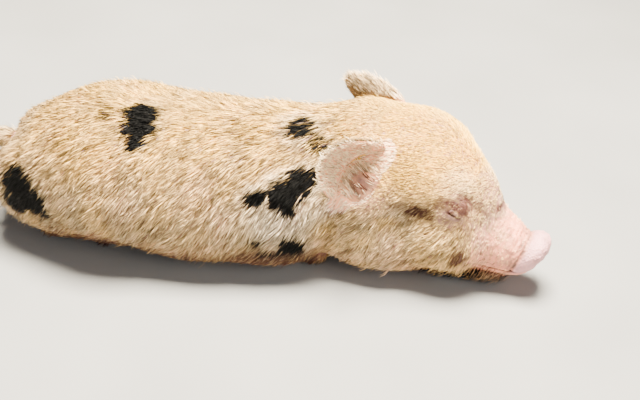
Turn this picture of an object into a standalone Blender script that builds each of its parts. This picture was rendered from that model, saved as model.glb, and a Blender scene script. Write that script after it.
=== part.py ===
# A sleeping domestic piglet, life size, lying on its belly with its legs folded under it.
# The body is one smooth form, grown from egg and limb shapes and then parted by thin cuts.
# It is designed in millimetres: +X towards the snout, +Y to its left side, +Z up, floor at 0.
import math

import bmesh
import bpy
import numpy as np
from mathutils import Matrix, Vector

MM = 0.001
GAP = 0.34

# Driving dimensions, in millimetres and degrees
TRUNK_WIDTH = 122.0
BACK_HEIGHT = 97.0
RUMP_X = -179.0
SHOULDER_X = 3.5
NECK_X = 44.0
HEAD_WIDTH = 82.0
HEAD_TURN = -15.0
EYE_RADIUS = 6.4
LID_RADIUS = 8.3
EAR_WIDTH = 43.0
EAR_CUP = 7.0
EAR_THICKNESS = 1.9
DISC_WIDTH = 28.0
DISC_HEIGHT = 25.6
DISC_SWELL = 7.6
DISC_PITCH = 37.0
CLAW_LENGTH = 9.5
CLAW_WIDTH = 5.6
CLAW_HEIGHT = 8.4
FORE_TIP = (-3.0, 13.0, 5.4)
HIND_TIP = (-101.0, 20.5, 5.6)

# Places on the head, along its own axis from the poll, on the left side
EYE_CENTRE = (79.6, 22.9, 64.3)
EYE_SLANT = 22.0
DISC_CENTRE = (126.2, 0.0, 31.0)
DISC_ROOT = (121.5, 0.0, 31.0)
DISC_ROOT_PITCH = 20.0
MOUTH_LINE = ((131, 20.0), (119, 20.4), (108, 20.0), (96, 20.8), (84, 24.6))
EAR_FRONTS = {"right": (36.0, 23.5, 95.0), "left": (37.0, 22.0, 97.0)}
EAR_BACK = (13.0, 42.0, 66.0)
EAR_TIPS = {"right": (10.5, 50.5, 103.5), "left": (-6.0, 30.5, 104.5)}
EAR_HOLLOW = (26.0, 36.5, 78.0)

# How finely the smooth body is wrapped, and how many triangles it keeps
WRAP_SIZE = 2.4
BODY_TRIANGLES = 4900

HALF_TRUNK = TRUNK_WIDTH / 2
RIGHT, LEFT = -1, 1
SIDES = {"right": RIGHT, "left": LEFT}


# Shapes of the form: each gives the distance of points from its surface, below zero inside
def turning(pitch=0.0, yaw=0.0, roll=0.0):
    """The matrix that turns a shape by these degrees: roll, then nose-down pitch, then yaw."""
    made = Matrix.Rotation(math.radians(yaw), 3, "Z") @ Matrix.Rotation(math.radians(pitch), 3, "Y")
    return np.array(made @ Matrix.Rotation(math.radians(roll), 3, "X"))


class Egg:
    """An ellipsoid."""

    def __init__(self, centre, radii, turn=None):
        self.centre = np.array(centre, float)
        self.radii = np.array(radii, float)
        self.turn = np.eye(3) if turn is None else turn

    def placed(self, turn, shift):
        return Egg(turn @ self.centre + shift, self.radii, turn @ self.turn)

    def distance(self, points):
        local = (points - self.centre) @ self.turn
        near = np.linalg.norm(local / self.radii, axis=1)
        steep = np.linalg.norm(local / self.radii**2, axis=1)
        return near * (near - 1) / np.maximum(steep, 1e-9)

    def balls(self):
        return [(self.centre, self.radii, self.turn)]


class Limb:
    """A straight round length whose radius runs from first to last."""

    def __init__(self, start, end, first, last):
        self.start = np.array(start, float)
        self.end = np.array(end, float)
        self.first = first
        self.last = last

    def placed(self, turn, shift):
        return Limb(turn @ self.start + shift, turn @ self.end + shift, self.first, self.last)

    def distance(self, points):
        line = self.end - self.start
        share = np.clip((points - self.start) @ line / (line @ line), 0, 1)
        middle = self.start + share[:, None] * line
        return np.linalg.norm(points - middle, axis=1) - (self.first + (self.last - self.first) * share)

    def balls(self):
        steps = 2 + int(np.linalg.norm(self.end - self.start) / (0.6 * min(self.first, self.last)))
        made = []
        for share in np.linspace(0, 1, steps):
            radius = self.first + (self.last - self.first) * share
            made.append((self.start + share * (self.end - self.start), np.full(3, radius), np.eye(3)))
        return made


def mirrored(point, side):
    return (point[0], side * point[1], point[2])


def trunk():
    """Barrel, belly, rump and shoulders, with how softly each one flows into the rest."""
    high = BACK_HEIGHT
    return [
        (Egg((-42, 0, high * 0.44), (83, HALF_TRUNK * 0.98, high * 0.525)), 10),
        (Egg((-93, 0, high * 0.545), (68, HALF_TRUNK * 1.01, high * 0.453)), 10),
        (Egg((RUMP_X + 56, 0, high * 0.425), (56, HALF_TRUNK * 0.72, high * 0.32)), 14),
        (Egg((SHOULDER_X, 0, high * 0.492), (50, HALF_TRUNK * 0.78, high * 0.415)), 14),
    ]


def foreleg(side):
    """Upper arm, elbow, forearm lying forwards, and the shank folded back under the chest."""
    knee = mirrored((31, 22.5, 8), side)
    elbow = mirrored((-14, 23.5, 11.5), side)
    fetlock = mirrored((7, 15, 6), side)
    return [
        (Egg(mirrored((8, 32, 38), side), (31, 19, 32), turning(pitch=-18)), 16),
        (Limb(mirrored((2, 31, 30), side), elbow, 16, 12), 10),
        (Limb(elbow, knee, 12, 8.6), 6),
        (Limb(knee, fetlock, 8.8, 6.6), 4),
        (Limb(fetlock, mirrored(FORE_TIP, side), 6.8, 6.2), 3),
        (Egg(mirrored((4, 9, 4), side), (4.6, 2.2, 2.2)), 1),
    ]


def hindleg(side):
    """Ham, folded stifle, shank back to the hock, and the foot forwards along the floor."""
    stifle = mirrored((-92, 27, 23), side)
    hock = mirrored((-140, 18.5, 9.5), side)
    fetlock = mirrored((-110, 19.5, 6.4), side)
    return [
        (Egg(mirrored((-132, 26, 42), side), (40, 17, 27.5), turning(pitch=20)), 14),
        (Limb(mirrored((-126, 23, 40), side), stifle, 19, 13), 10),
        (Limb(stifle, hock, 13, 9), 7),
        (Limb(hock, fetlock, 8.8, 7), 4),
        (Limb(fetlock, mirrored(HIND_TIP, side), 7, 6.4), 3),
        (Egg(mirrored((-106, 26.5, 3.4), side), (4.6, 2.2, 2.2)), 1),
        (Egg(mirrored((-106, 13.5, 3.4), side), (4.6, 2.2, 2.2)), 1),
    ]


def neck():
    return [(Limb((12, 0, 52.5), (60, -4, 61), 37.5, 43.5), 18)]


def head():
    """The head along its own +X from the poll, before it is turned on the neck."""
    half = HEAD_WIDTH / 2
    shapes = [
        (Egg((28.5, 0, 65.3), (38, half * 0.84, 38.2), turning(pitch=14)), 12),
        (Egg((55.3, 0, 76), (35.2, half * 0.78, 30.1), turning(pitch=45)), 12),
        (Egg((42, 0, 26), (46, half * 0.62, 25)), 12),
        (Egg((80.2, 0, 63), (22, half * 0.46, 19), turning(pitch=40)), 12),
        (Limb((69.7, 0, 47.5), (114.7, 0, 27.9), 26.7, 15.7), 12),
        (Limb((58, 0, 19.4), (104, 0, 15.6), 18.8, 10.8), 8),
        (Egg(DISC_CENTRE, (DISC_SWELL, DISC_WIDTH / 2, DISC_HEIGHT / 2), turning(pitch=DISC_PITCH)), 4),
    ]
    for side in SIDES.values():
        shapes += [
            (Egg(mirrored((30, half * 0.52, 30), side), (36, half * 0.47, 23), turning(yaw=-6 * side)), 12),
            (Egg(mirrored((74, half * 0.56, 62), side), (17, half * 0.20, 10), turning(pitch=40)), 8),
            (Egg(mirrored((70, half * 0.48, 38), side), (26, half * 0.36, 19), turning(pitch=24)), 10),
            (Egg(mirrored(EYE_CENTRE, side), np.full(3, LID_RADIUS)), 3),
        ]
    return shapes


def head_turn():
    return turning(yaw=HEAD_TURN), np.array((NECK_X, 0.0, 0.0))


def flesh():
    """Every shape of the body with its softness, in the body's own place."""
    shapes = trunk() + neck()
    for side in SIDES.values():
        shapes += foreleg(side) + hindleg(side)
    turn, shift = head_turn()
    return shapes + [(shape.placed(turn, shift), soft) for shape, soft in head()]


def hollows():
    """Shapes taken out of the flesh: the bowl of each ear."""
    turn, shift = head_turn()
    bowls = []
    for side in SIDES.values():
        bowl = Egg(mirrored(EAR_HOLLOW, side), (9.5, 6.5, 12.5), turning(yaw=-24 * side, pitch=36))
        bowls.append((bowl.placed(turn, shift), 4))
    return bowls


def merged_distance(points, shapes, bowls=()):
    """Distance from the smooth join of the shapes, less the hollows."""
    total = shapes[0][0].distance(points)
    for shape, soft in shapes[1:]:
        other = shape.distance(points)
        near = np.maximum(soft - np.abs(total - other), 0) / soft
        total = np.minimum(total, other) - near * near * soft / 4
    for shape, soft in bowls:
        other = -shape.distance(points)
        near = np.maximum(soft - np.abs(total - other), 0) / soft
        total = np.maximum(total, other) + near * near * soft / 4
    return total


def settled(points, shapes, bowls=(), rounds=6, step=0.05):
    """Points moved onto the surface of the joined shapes."""
    for _ in range(rounds):
        here = merged_distance(points, shapes, bowls)
        slope = np.empty_like(points)
        for axis in range(3):
            ahead = points.copy()
            ahead[:, axis] += step
            slope[:, axis] = (merged_distance(ahead, shapes, bowls) - here) / step
        steep = np.maximum((slope**2).sum(axis=1), 0.05)
        points = points - slope * np.clip(here / steep, -3, 3)[:, None]
    return points


def new_object(name, bm):
    mesh = bpy.data.meshes.new(name)
    bm.to_mesh(mesh)
    bm.free()
    made = bpy.data.objects.new(name, mesh)
    bpy.context.scene.collection.objects.link(made)
    return made


def applied(obj):
    """Turns an object's modifiers into its own mesh."""
    graph = bpy.context.evaluated_depsgraph_get()
    mesh = bpy.data.meshes.new_from_object(obj.evaluated_get(graph))
    obj.modifiers.clear()
    old, obj.data = obj.data, mesh
    bpy.data.meshes.remove(old)
    return obj


def rough_body(shapes, name, wrap_size):
    """Balls over every shape, wrapped in one closed mesh."""
    bm = bmesh.new()
    for shape, _ in shapes:
        for centre, radii, turn in shape.balls():
            place = Matrix.Translation(Vector(centre * MM)) @ Matrix(turn.tolist()).to_4x4()
            size = Matrix.Diagonal((*((radii + 1.5) * MM), 1))
            bmesh.ops.create_icosphere(bm, subdivisions=3, radius=1, matrix=place @ size)
    body = new_object(name, bm)
    wrap = body.modifiers.new("wrap", "REMESH")
    wrap.mode = "VOXEL"
    wrap.voxel_size = wrap_size * MM
    return applied(body)


def set_points(mesh, points):
    mesh.vertices.foreach_set("co", (points * MM).astype(np.float32).ravel())
    mesh.update()


def get_points(mesh):
    points = np.empty(len(mesh.vertices) * 3, np.float32)
    mesh.vertices.foreach_get("co", points)
    return points.reshape(-1, 3).astype(float) / MM


def smooth_body(shapes, name="body", wrap_size=WRAP_SIZE, evenings=3, bowls=()):
    """The joined shapes as one mesh on their true surface."""
    body = rough_body(shapes, name, wrap_size)
    set_points(body.data, settled(get_points(body.data), shapes, bowls, rounds=8))
    for _ in range(evenings):
        even = body.modifiers.new("even", "SMOOTH")
        even.iterations = 2
        applied(body)
        set_points(body.data, settled(get_points(body.data), shapes, bowls, rounds=2))
    return body


def thinned(obj, triangles, coarse=None):
    """Collapses a mesh to about this many triangles, fewer where the coarse weights are high."""
    thin = obj.modifiers.new("thin", "DECIMATE")
    obj.data.calc_loop_triangles()
    thin.ratio = triangles / len(obj.data.loop_triangles)
    if coarse is not None:
        group = obj.vertex_groups.new(name="coarse")
        for level in np.unique(coarse):
            group.add(np.flatnonzero(coarse == level).tolist(), float(level), "REPLACE")
        thin.vertex_group = group.name
        thin.vertex_group_factor = 1.0
    return applied(obj)


def joined_or_cut(obj, others, operation):
    """One Boolean of an object with a list of closed objects, which are then removed."""
    group = bpy.data.collections.new("others")
    bpy.context.scene.collection.children.link(group)
    for other in others:
        group.objects.link(other)
    change = obj.modifiers.new("change", "BOOLEAN")
    change.operand_type = "COLLECTION"
    change.collection = group
    change.solver = "EXACT"
    change.operation = operation
    applied(obj)
    for other in others:
        bpy.data.objects.remove(other)
    bpy.data.collections.remove(group)
    return obj


def kept_part(obj):
    """Leaves only the largest closed surface of an object."""
    bm = bmesh.new()
    bm.from_mesh(obj.data)
    left = set(bm.verts)
    islands = []
    while left:
        reached = [left.pop()]
        for vert in reached:
            for edge in vert.link_edges:
                other = edge.other_vert(vert)
                if other in left:
                    left.discard(other)
                    reached.append(other)
        islands.append(reached)
    islands.sort(key=len)
    bmesh.ops.delete(bm, geom=[vert for island in islands[:-1] for vert in island], context="VERTS")
    bm.to_mesh(obj.data)
    bm.free()
    return obj


def copied(obj, name, grow=0.0):
    """A copy of an object, with its surface moved out by grow."""
    made = bpy.data.objects.new(name, obj.data.copy())
    bpy.context.scene.collection.objects.link(made)
    if grow:
        bm = bmesh.new()
        bm.from_mesh(made.data)
        bm.normal_update()
        for vert in bm.verts:
            vert.co += vert.normal * grow * MM * vert.calc_shell_factor()
        bm.to_mesh(made.data)
        bm.free()
    return made


def ball(name, centre, radii, turn=None, fineness=3):
    """A closed ellipsoid mesh."""
    bm = bmesh.new()
    place = Matrix.Translation(Vector(centre) * MM)
    if turn is not None:
        place = place @ Matrix(np.asarray(turn).tolist()).to_4x4()
    size = Matrix.Diagonal((*(np.asarray(radii, float) * MM), 1))
    bmesh.ops.create_icosphere(bm, subdivisions=fineness, radius=1, matrix=place @ size)
    return new_object(name, bm)


def in_head(point):
    turn, shift = head_turn()
    return turn @ np.array(point, float) + shift


# Cutters and partings
def half_space(name, point, normal):
    """A block that fills all that lies ahead of a plane."""
    reach = 700 * MM
    way = Vector(normal).normalized()
    turn = way.to_track_quat("Z", "Y").to_matrix().to_4x4()
    bm = bmesh.new()
    middle = Vector(point) * MM + way * reach / 2
    bmesh.ops.create_cube(bm, size=reach, matrix=Matrix.Translation(middle) @ turn)
    return new_object(name, bm)


def parted(obj, point, normal, name):
    """Parts an object at a plane, and gives what lies ahead of it as a new one."""
    way = np.array(normal, float)
    way /= np.linalg.norm(way)
    point = np.array(point, float)
    ahead = copied(obj, name)
    joined_or_cut(ahead, [half_space("behind", point + way * GAP / 2, -way)], "DIFFERENCE")
    joined_or_cut(obj, [half_space("ahead", point - way * GAP / 2, way)], "DIFFERENCE")
    kept_part(obj)
    return kept_part(ahead)


def leg_cutter(name, side, middle, radii, inner, grow=0.0):
    """An oval column across the body, from its inner face out past the flank."""
    outer = 120.0
    length = outer - inner + grow
    turn = Matrix.Rotation(math.radians(90), 4, "X")
    place = Matrix.Translation(Vector((middle[0], side * (outer - length / 2), middle[1])) * MM)
    size = Matrix.Diagonal(((radii[0] + grow) * MM, (radii[1] + grow) * MM, length * MM, 1))
    bm = bmesh.new()
    bmesh.ops.create_cone(
        bm, cap_ends=True, segments=56, radius1=1, radius2=1, depth=1, matrix=place @ turn @ size
    )
    return new_object(name, bm)


def leg_taken(body, name, side, middle, radii, inner):
    """Cuts one leg out of the body."""
    leg = copied(body, name)
    joined_or_cut(leg, [leg_cutter("column", side, middle, radii, inner)], "INTERSECT")
    joined_or_cut(body, [leg_cutter("column", side, middle, radii, inner, GAP)], "DIFFERENCE")
    return kept_part(leg)


def swept(name, centres, sides, closed_ends=True):
    """A closed skin through rings of points, given one ring after another."""
    bm = bmesh.new()
    rings = [[bm.verts.new(Vector(point) * MM) for point in ring] for ring in centres]
    for first, second in zip(rings, rings[1:]):
        for index in range(sides):
            after = (index + 1) % sides
            bm.faces.new((first[index], first[after], second[after], second[index]))
    if closed_ends:
        bm.faces.new(rings[0][::-1])
        bm.faces.new(rings[-1])
    bmesh.ops.triangulate(bm, faces=bm.faces)
    bmesh.ops.recalc_face_normals(bm, faces=bm.faces)
    return new_object(name, bm)


# Ears
def ear_point(along, across, side):
    """A point in the middle of the ear's thickness, in the head's own place."""
    tip = np.array(mirrored(EAR_TIPS["right" if side == RIGHT else "left"], side))
    front = np.array(mirrored(EAR_FRONTS["right" if side == RIGHT else "left"], side))
    back = np.array(mirrored(EAR_BACK, side))
    root = (front + back) / 2
    wide = (front - back) / np.linalg.norm(front - back)
    inside = np.cross(wide, tip - root) * -side
    inside /= np.linalg.norm(inside)
    rise = max(along, 0.0)
    half = EAR_WIDTH / 2 * (1 - rise**2.4) ** 0.5 * (1 + 0.05 * math.sin(math.pi * rise))
    cup = EAR_CUP * (1 - across**2) * (1 - rise) ** 0.8 - 3.0 * math.sin(math.pi * rise) * across**2
    point = root + (tip - root) * along + wide * across * half - inside * cup
    if along < 0:
        point += np.array((0, -side * 0.86, -0.5)) * -along * 46
    return point


def ear(name, side, rows=12, columns=8):
    """A cupped leaf with rounded tip, its root sunk in the head."""
    turn, shift = head_turn()
    alongs = [-0.2] + [math.sin(math.pi / 2 * row / rows) for row in range(rows)] + [1.0]
    acrosses = np.linspace(-1, 1, columns)
    grid = np.array([[ear_point(along, across, side) for across in acrosses] for along in alongs])
    grid = grid @ turn.T + shift
    down = np.gradient(grid, axis=0)
    over = np.gradient(grid, axis=1)
    out = np.cross(down, over)
    out[-1] = out[-2]
    out /= np.maximum(np.linalg.norm(out, axis=2), 1e-9)[:, :, None]
    thick = np.array([EAR_THICKNESS * (1.25 - 0.45 * max(along, 0)) for along in alongs])[:, None, None]
    bm = bmesh.new()
    layers = []
    for way in (0.5, -0.5):
        spots = grid + out * thick * way
        layer = [[bm.verts.new(Vector(spot) * MM) for spot in row] for row in spots[:-1]]
        tip = bm.verts.new(Vector(spots[-1].mean(axis=0)) * MM)
        layers.append((layer, tip))
    for (layer, tip), flip in zip(layers, (False, True)):
        faces = []
        for first, second in zip(layer, layer[1:]):
            for index in range(columns - 1):
                corner = (first[index], first[index + 1], second[index + 1], second[index])
                faces += [(corner[0], corner[1], corner[2]), (corner[0], corner[2], corner[3])]
        for index in range(columns - 1):
            faces.append((layer[-1][index], layer[-1][index + 1], tip))
        for face in faces:
            bm.faces.new(face[::-1] if flip else face)
    (top, top_tip), (low, low_tip) = layers
    edge_top = [row[0] for row in top] + [top_tip] + [row[-1] for row in reversed(top)] + top[0][-2:0:-1]
    edge_low = [row[0] for row in low] + [low_tip] + [row[-1] for row in reversed(low)] + low[0][-2:0:-1]
    for index in range(len(edge_top)):
        after = (index + 1) % len(edge_top)
        bm.faces.new((edge_top[index], edge_top[after], edge_low[after]))
        bm.faces.new((edge_top[index], edge_low[after], edge_low[index]))
    bmesh.ops.recalc_face_normals(bm, faces=bm.faces)
    return new_object(name, bm)


# Tail, claws and the openings of the face
def tail_line():
    """The middle of the tail, from inside the rump to its tip."""
    root = np.array((RUMP_X + 15, 0.0, 61.5))
    steps = ((0, 0, 0), (-14, 0, 1), (-21, -3, -6), (-24, -9, -16), (-21, -15, -26), (-15, -15, -34), (-12, -9, -40))
    return [root + np.array(step) for step in steps]


def tail():
    line = tail_line()
    thick = np.linspace(4.6, 1.7, len(line))
    return [
        (Limb(first, second, one, two), 2)
        for first, second, one, two in zip(line, line[1:], thick, thick[1:])
    ]


def foot_claws(side, tip, yaw):
    """Places of a foot's two claws: name, centre, radii and turn."""
    turn = turning(yaw=yaw * side)
    tip = np.array(mirrored(tip, side))
    places = []
    for word, offset in (("inner", -side), ("outer", side)):
        centre = tip + turn @ np.array((2.0, 0, 0)) + np.array((0, offset * (CLAW_WIDTH / 2 + 0.3), 0))
        centre[2] = CLAW_HEIGHT / 2 - 0.3
        places.append((word, centre, (CLAW_LENGTH, CLAW_WIDTH / 2, CLAW_HEIGHT / 2), turn))
    return places


def mouth_cutter(thick=0.8):
    """A thin bent blade across the whole jaw, along the line of the mouth."""
    turn, shift = head_turn()
    line = np.array(MOUTH_LINE, float)
    rings = []
    for index, (x, z) in enumerate(line):
        before = line[max(index - 1, 0)]
        after = line[min(index + 1, len(line) - 1)]
        way = (after - before) / np.linalg.norm(after - before)
        out = np.array((-way[1], way[0])) * thick / 2
        upper = (x + out[0], z + out[1])
        lower = (x - out[0], z - out[1])
        ring = [(upper[0], -60, upper[1]), (upper[0], 60, upper[1]), (lower[0], 60, lower[1]), (lower[0], -60, lower[1])]
        rings.append(np.array(ring) @ turn.T + shift)
    return swept("blade", rings, 4)


def eye_slit(side):
    """A thin lens along the closed lids, reaching in to the eye."""
    turn, shift = head_turn()
    slant = turning(yaw=-8 * side) @ turning(pitch=EYE_SLANT)
    spot = np.array(mirrored(EYE_CENTRE, side)) + np.array((0.9, side * LID_RADIUS, 0.8))
    return ball("slit", turn @ spot + shift, (5.4, 4.4, 0.5), turn @ slant, fineness=2)


def nostril(side):
    turn, shift = head_turn()
    face = turning(pitch=DISC_PITCH)
    spot = np.array(DISC_CENTRE) + face @ np.array((6.6, side * 5.2, 0.4))
    return ball("nostril", turn @ spot + shift, (5.6, 2.5, 3.7), turn @ face @ turning(roll=12 * side), 2)


# Colours of the solids
def painted(obj, name, colour, rough):
    finish = bpy.data.materials.get(name)
    if finish is None:
        finish = bpy.data.materials.new(name)
        finish.use_nodes = True
        shader = finish.node_tree.nodes["Principled BSDF"]
        shader.inputs["Base Color"].default_value = (*colour, 1)
        shader.inputs["Roughness"].default_value = rough
    obj.data.materials.clear()
    obj.data.materials.append(finish)


def coarse_weights(points):
    """How coarse the mesh may be at each point: fine round the eyes, mouth and snout."""
    turn, shift = head_turn()
    local = (points - shift) @ turn
    weights = np.full(len(points), 0.55)
    weights[local[:, 0] > 4] = 0.3
    front = local[:, 0] > 100
    weights[front] = 0.1
    for side in SIDES.values():
        near = np.linalg.norm(local - np.array(mirrored(EYE_CENTRE, side)), axis=1) < 18
        weights[near] = 0.0
    return weights


def main():
    for old in list(bpy.data.objects):
        bpy.data.objects.remove(old)
    shapes = flesh()
    body = smooth_body(shapes, bowls=hollows())
    thinned(body, BODY_TRIANGLES, coarse_weights(get_points(body.data)))
    under = half_space("under", (0, 0, 0), (0, 0, -1))
    joined_or_cut(body, [under], "DIFFERENCE")
    body.name = "torso"
    nodes = {"torso": body}

    for word, side in SIDES.items():
        ear_leaf = ear("ear_" + word, side)
        joined_or_cut(ear_leaf, [copied(body, "flesh", GAP)], "DIFFERENCE")
        nodes["ear_" + word] = kept_part(ear_leaf)
        eye_spot = in_head(mirrored(EYE_CENTRE, side))
        nodes["eye_" + word] = ball("eye_" + word, eye_spot, np.full(3, EYE_RADIUS))
    tail_form = thinned(smooth_body(tail(), "tail", wrap_size=1.2, evenings=2), 420)
    joined_or_cut(tail_form, [copied(body, "flesh", GAP)], "DIFFERENCE")
    nodes["tail"] = kept_part(tail_form)

    for word, side in SIDES.items():
        nodes["foreleg_" + word] = leg_taken(body, "foreleg_" + word, side, (5, 16), (37, 50), 5)
        nodes["hindleg_" + word] = leg_taken(body, "hindleg_" + word, side, (-124, 18), (50, 56), 8)
    kept_part(body)
    turn, shift = head_turn()
    nodes["neck"] = parted(body, (16, 0, 60), (1, 0, 0.22), "neck")
    nodes["head"] = parted(nodes["neck"], in_head((8, 0, 64)), turn @ np.array((1, 0, 0.16)), "head")
    face = turn @ turning(pitch=DISC_ROOT_PITCH) @ np.array((1, 0, 0))
    nodes["snout_disc"] = parted(nodes["head"], in_head(DISC_ROOT), face, "snout_disc")
    joined_or_cut(nodes["snout_disc"], [nostril(side) for side in SIDES.values()], "DIFFERENCE")
    joined_or_cut(nodes["head"], [mouth_cutter()], "DIFFERENCE")
    for side in SIDES.values():
        socket = ball("socket", in_head(mirrored(EYE_CENTRE, side)), np.full(3, EYE_RADIUS + GAP))
        joined_or_cut(socket, [eye_slit(side)], "UNION")
        joined_or_cut(nodes["head"], [socket], "DIFFERENCE")
    kept_part(nodes["head"])

    for word, side in SIDES.items():
        feet = (
            ("fore", foot_claws(side, FORE_TIP, 180 + 14)),
            ("hind", foot_claws(side, HIND_TIP, 6)),
        )
        for limb, places in feet:
            for place, centre, radii, claw_turn in places:
                name = f"claw_{limb}_{word}_{place}"
                claw = ball(name, centre, radii, claw_turn, 2)
                pocket = ball("pocket", centre, np.array(radii) + GAP, claw_turn, 2)
                joined_or_cut(claw, [half_space("under", (0, 0, 0), (0, 0, -1))], "DIFFERENCE")
                nodes[name] = kept_part(claw)
                joined_or_cut(nodes[f"{limb}leg_{word}"], [pocket], "DIFFERENCE")
                kept_part(nodes[f"{limb}leg_{word}"])

    low = np.min([get_points(node.data).min(axis=0) for node in nodes.values()], axis=0)
    high = np.max([get_points(node.data).max(axis=0) for node in nodes.values()], axis=0)
    shift_all = np.array((-(low[0] + high[0]) / 2, -(low[1] + high[1]) / 2, -low[2]))
    for name, node in nodes.items():
        node.name = name
        node.data.name = name
        set_points(node.data, get_points(node.data) + shift_all)
        if name.startswith("eye"):
            painted(node, "dark eye", (0.02, 0.012, 0.01), 0.15)
        elif "claw" in name:
            painted(node, "claw", (0.30, 0.22, 0.16), 0.5)
        elif name == "snout_disc":
            painted(node, "bare pink skin", (0.72, 0.38, 0.33), 0.45)
        else:
            painted(node, "cream coat", (0.78, 0.64, 0.50), 0.7)


main()
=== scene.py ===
# A sleeping spotted piglet, life size: one skin and its coat, eyes and claws on a plain floor.
# Shapes are designed in millimetres, +X to the snout, +Y to its left side, +Z up, floor at 0.
import math

import bmesh
import bpy
import numpy as np
from mathutils import Matrix, Vector
from mathutils.kdtree import KDTree


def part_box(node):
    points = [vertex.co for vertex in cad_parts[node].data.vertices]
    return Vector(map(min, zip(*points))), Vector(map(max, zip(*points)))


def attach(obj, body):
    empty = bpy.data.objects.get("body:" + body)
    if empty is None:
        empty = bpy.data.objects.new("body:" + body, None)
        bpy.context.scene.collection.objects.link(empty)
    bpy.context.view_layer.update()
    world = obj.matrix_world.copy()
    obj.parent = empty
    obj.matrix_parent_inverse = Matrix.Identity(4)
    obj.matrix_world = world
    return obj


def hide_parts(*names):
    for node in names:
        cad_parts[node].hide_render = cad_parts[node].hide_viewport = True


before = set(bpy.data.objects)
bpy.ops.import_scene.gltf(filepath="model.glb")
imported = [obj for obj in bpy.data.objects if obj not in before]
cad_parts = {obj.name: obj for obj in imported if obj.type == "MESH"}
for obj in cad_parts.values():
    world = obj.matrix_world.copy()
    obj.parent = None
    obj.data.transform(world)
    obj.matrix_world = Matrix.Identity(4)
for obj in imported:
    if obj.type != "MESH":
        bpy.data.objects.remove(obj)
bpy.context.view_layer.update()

MM = 0.001
RIGHT, LEFT = -1, 1
SIDES = {"right": RIGHT, "left": LEFT}

# The body's driving sizes, in millimetres and degrees
TRUNK_WIDTH = 122.0
BACK_HEIGHT = 97.0
RUMP_X = -179.0
SHOULDER_X = 3.5
NECK_X = 44.0
HEAD_WIDTH = 82.0
HEAD_TURN = -15.0
LID_RADIUS = 8.3
EAR_WIDTH = 43.0
EAR_CUP = 7.0
EAR_THICKNESS = 1.9
DISC_WIDTH = 28.0
DISC_HEIGHT = 25.6
DISC_SWELL = 7.6
DISC_PITCH = 37.0
FORE_TIP = (-3.0, 13.0, 5.4)
HIND_TIP = (-101.0, 20.5, 5.6)
HALF_TRUNK = TRUNK_WIDTH / 2

# Places on the head, along its own axis from the poll, on the left side
EYE_CENTRE = (79.6, 22.9, 64.3)
EYE_SLANT = 22.0
DISC_CENTRE = (126.2, 0.0, 31.0)
DISC_ROOT = (121.5, 0.0, 31.0)
DISC_ROOT_PITCH = 20.0
MOUTH_LINE = ((131, 20.0), (119, 20.4), (108, 20.0), (96, 20.8), (84, 24.6))
EAR_FRONTS = {"right": (36.0, 23.5, 95.0), "left": (37.0, 22.0, 97.0)}
EAR_BACK = (13.0, 42.0, 66.0)
EAR_TIPS = {"right": (10.5, 50.5, 103.5), "left": (-6.0, 30.5, 104.5)}
EAR_HOLLOW = (26.0, 36.5, 78.0)
CANAL_RIM = (26.0, 35.0, 78.0)
CANAL_MOUTH = (26.0, 36.0, 78.5)
CANAL_FLOOR = (24.5, 32.0, 75.0)

# Regions on both sides of the head: middle on the left side, radii, and the reaches of full and none
EAR_BOWL = ((24.0, 38.0, 78.5), (11.5, 10, 14), 0.85, 1.1)
BEFORE_EAR = ((32.0, 38.0, 79.5), (17, 12, 17), 0.8, 1.25)
TEMPLE_SHADE = ((45, 28, 88), (20, 15, 14), 0.4, 1.2)
# Painted highlight on the brows
BROW_HIGHLIGHT = ((79, 20, 81), (15, 15, 11), 0.4, 1.2)

# The same on both sides of the trunk, in the body's own frame
SHOULDER_LIGHT = ((14, 52, 52), (28, 20, 22), 0.3, 1.3)
# Brown on the forearms: partly their own reddish brown, partly painted shade under the chest and neck
FOREARM_BROWN_AND_SHADE = ((9, 50, 21), (36, 22, 14), 0.55, 1.15)
STIFLE_BROWN = ((-124, 58, 36), (26, 16, 10), 0.4, 1.1)

# The tail: its root, the steps of its curl, its seam with the skin, the denser hair there, and its radii
TAIL_ROOT = (RUMP_X + 15, 0.0, 61.5)
TAIL_STEPS = (
    (0, 0, 0), (-14, 0, 1), (-21, -3, -6), (-24, -9, -16), (-21, -15, -26), (-15, -15, -34), (-12, -9, -40),
)
TAIL_SEAM = (RUMP_X + 10, 0.0, 62.0)
TAIL_FRINGE = (RUMP_X + 6, 0.0, 62.0)
TAIL_RADIUS = 4.2
TAIL_TIP_RADIUS = 1.4
TAIL_CORNERS = 14

# Folds over the closed lids: height above the slit, half length, depth and width
LID_FOLDS = ((4.3, 8.0, 0.55, 0.8), (7.6, 9.5, 0.40, 1.1), (-4.6, 8.4, 0.45, 0.9))

# Grooves around the snout behind its disc: place before the disc's edge, depth and width
DISC_GROOVES = ((-1.6, 1.3, 1.1), (-4.6, 0.9, 0.9), (-7.2, 0.6, 0.8))

# Painted shade in and beside those grooves: place, strength and width
GROOVE_PAINTED_SHADES = ((-0.6, 0.45, 2.4), (-1.8, 1.0, 1.5), (-4.2, 0.8, 1.3), (-6.8, 0.55, 1.1))

# Loose folds on each side: their line, how deep and how wide
FOLDS = (
    (((-13, 57, 58), (-17, 60, 45), (-16, 57, 30)), 1.5, 2.2),
    (((41, 45, 66), (39, 51, 50), (36, 51, 34), (38, 44, 20)), 1.7, 2.4),
    (((-10, 58, 34), (8, 60, 31), (26, 55, 28)), 1.0, 2.0),
    (((24, 46, 84), (30, 49, 70), (34, 51, 56)), 0.5, 2.2),
)

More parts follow.
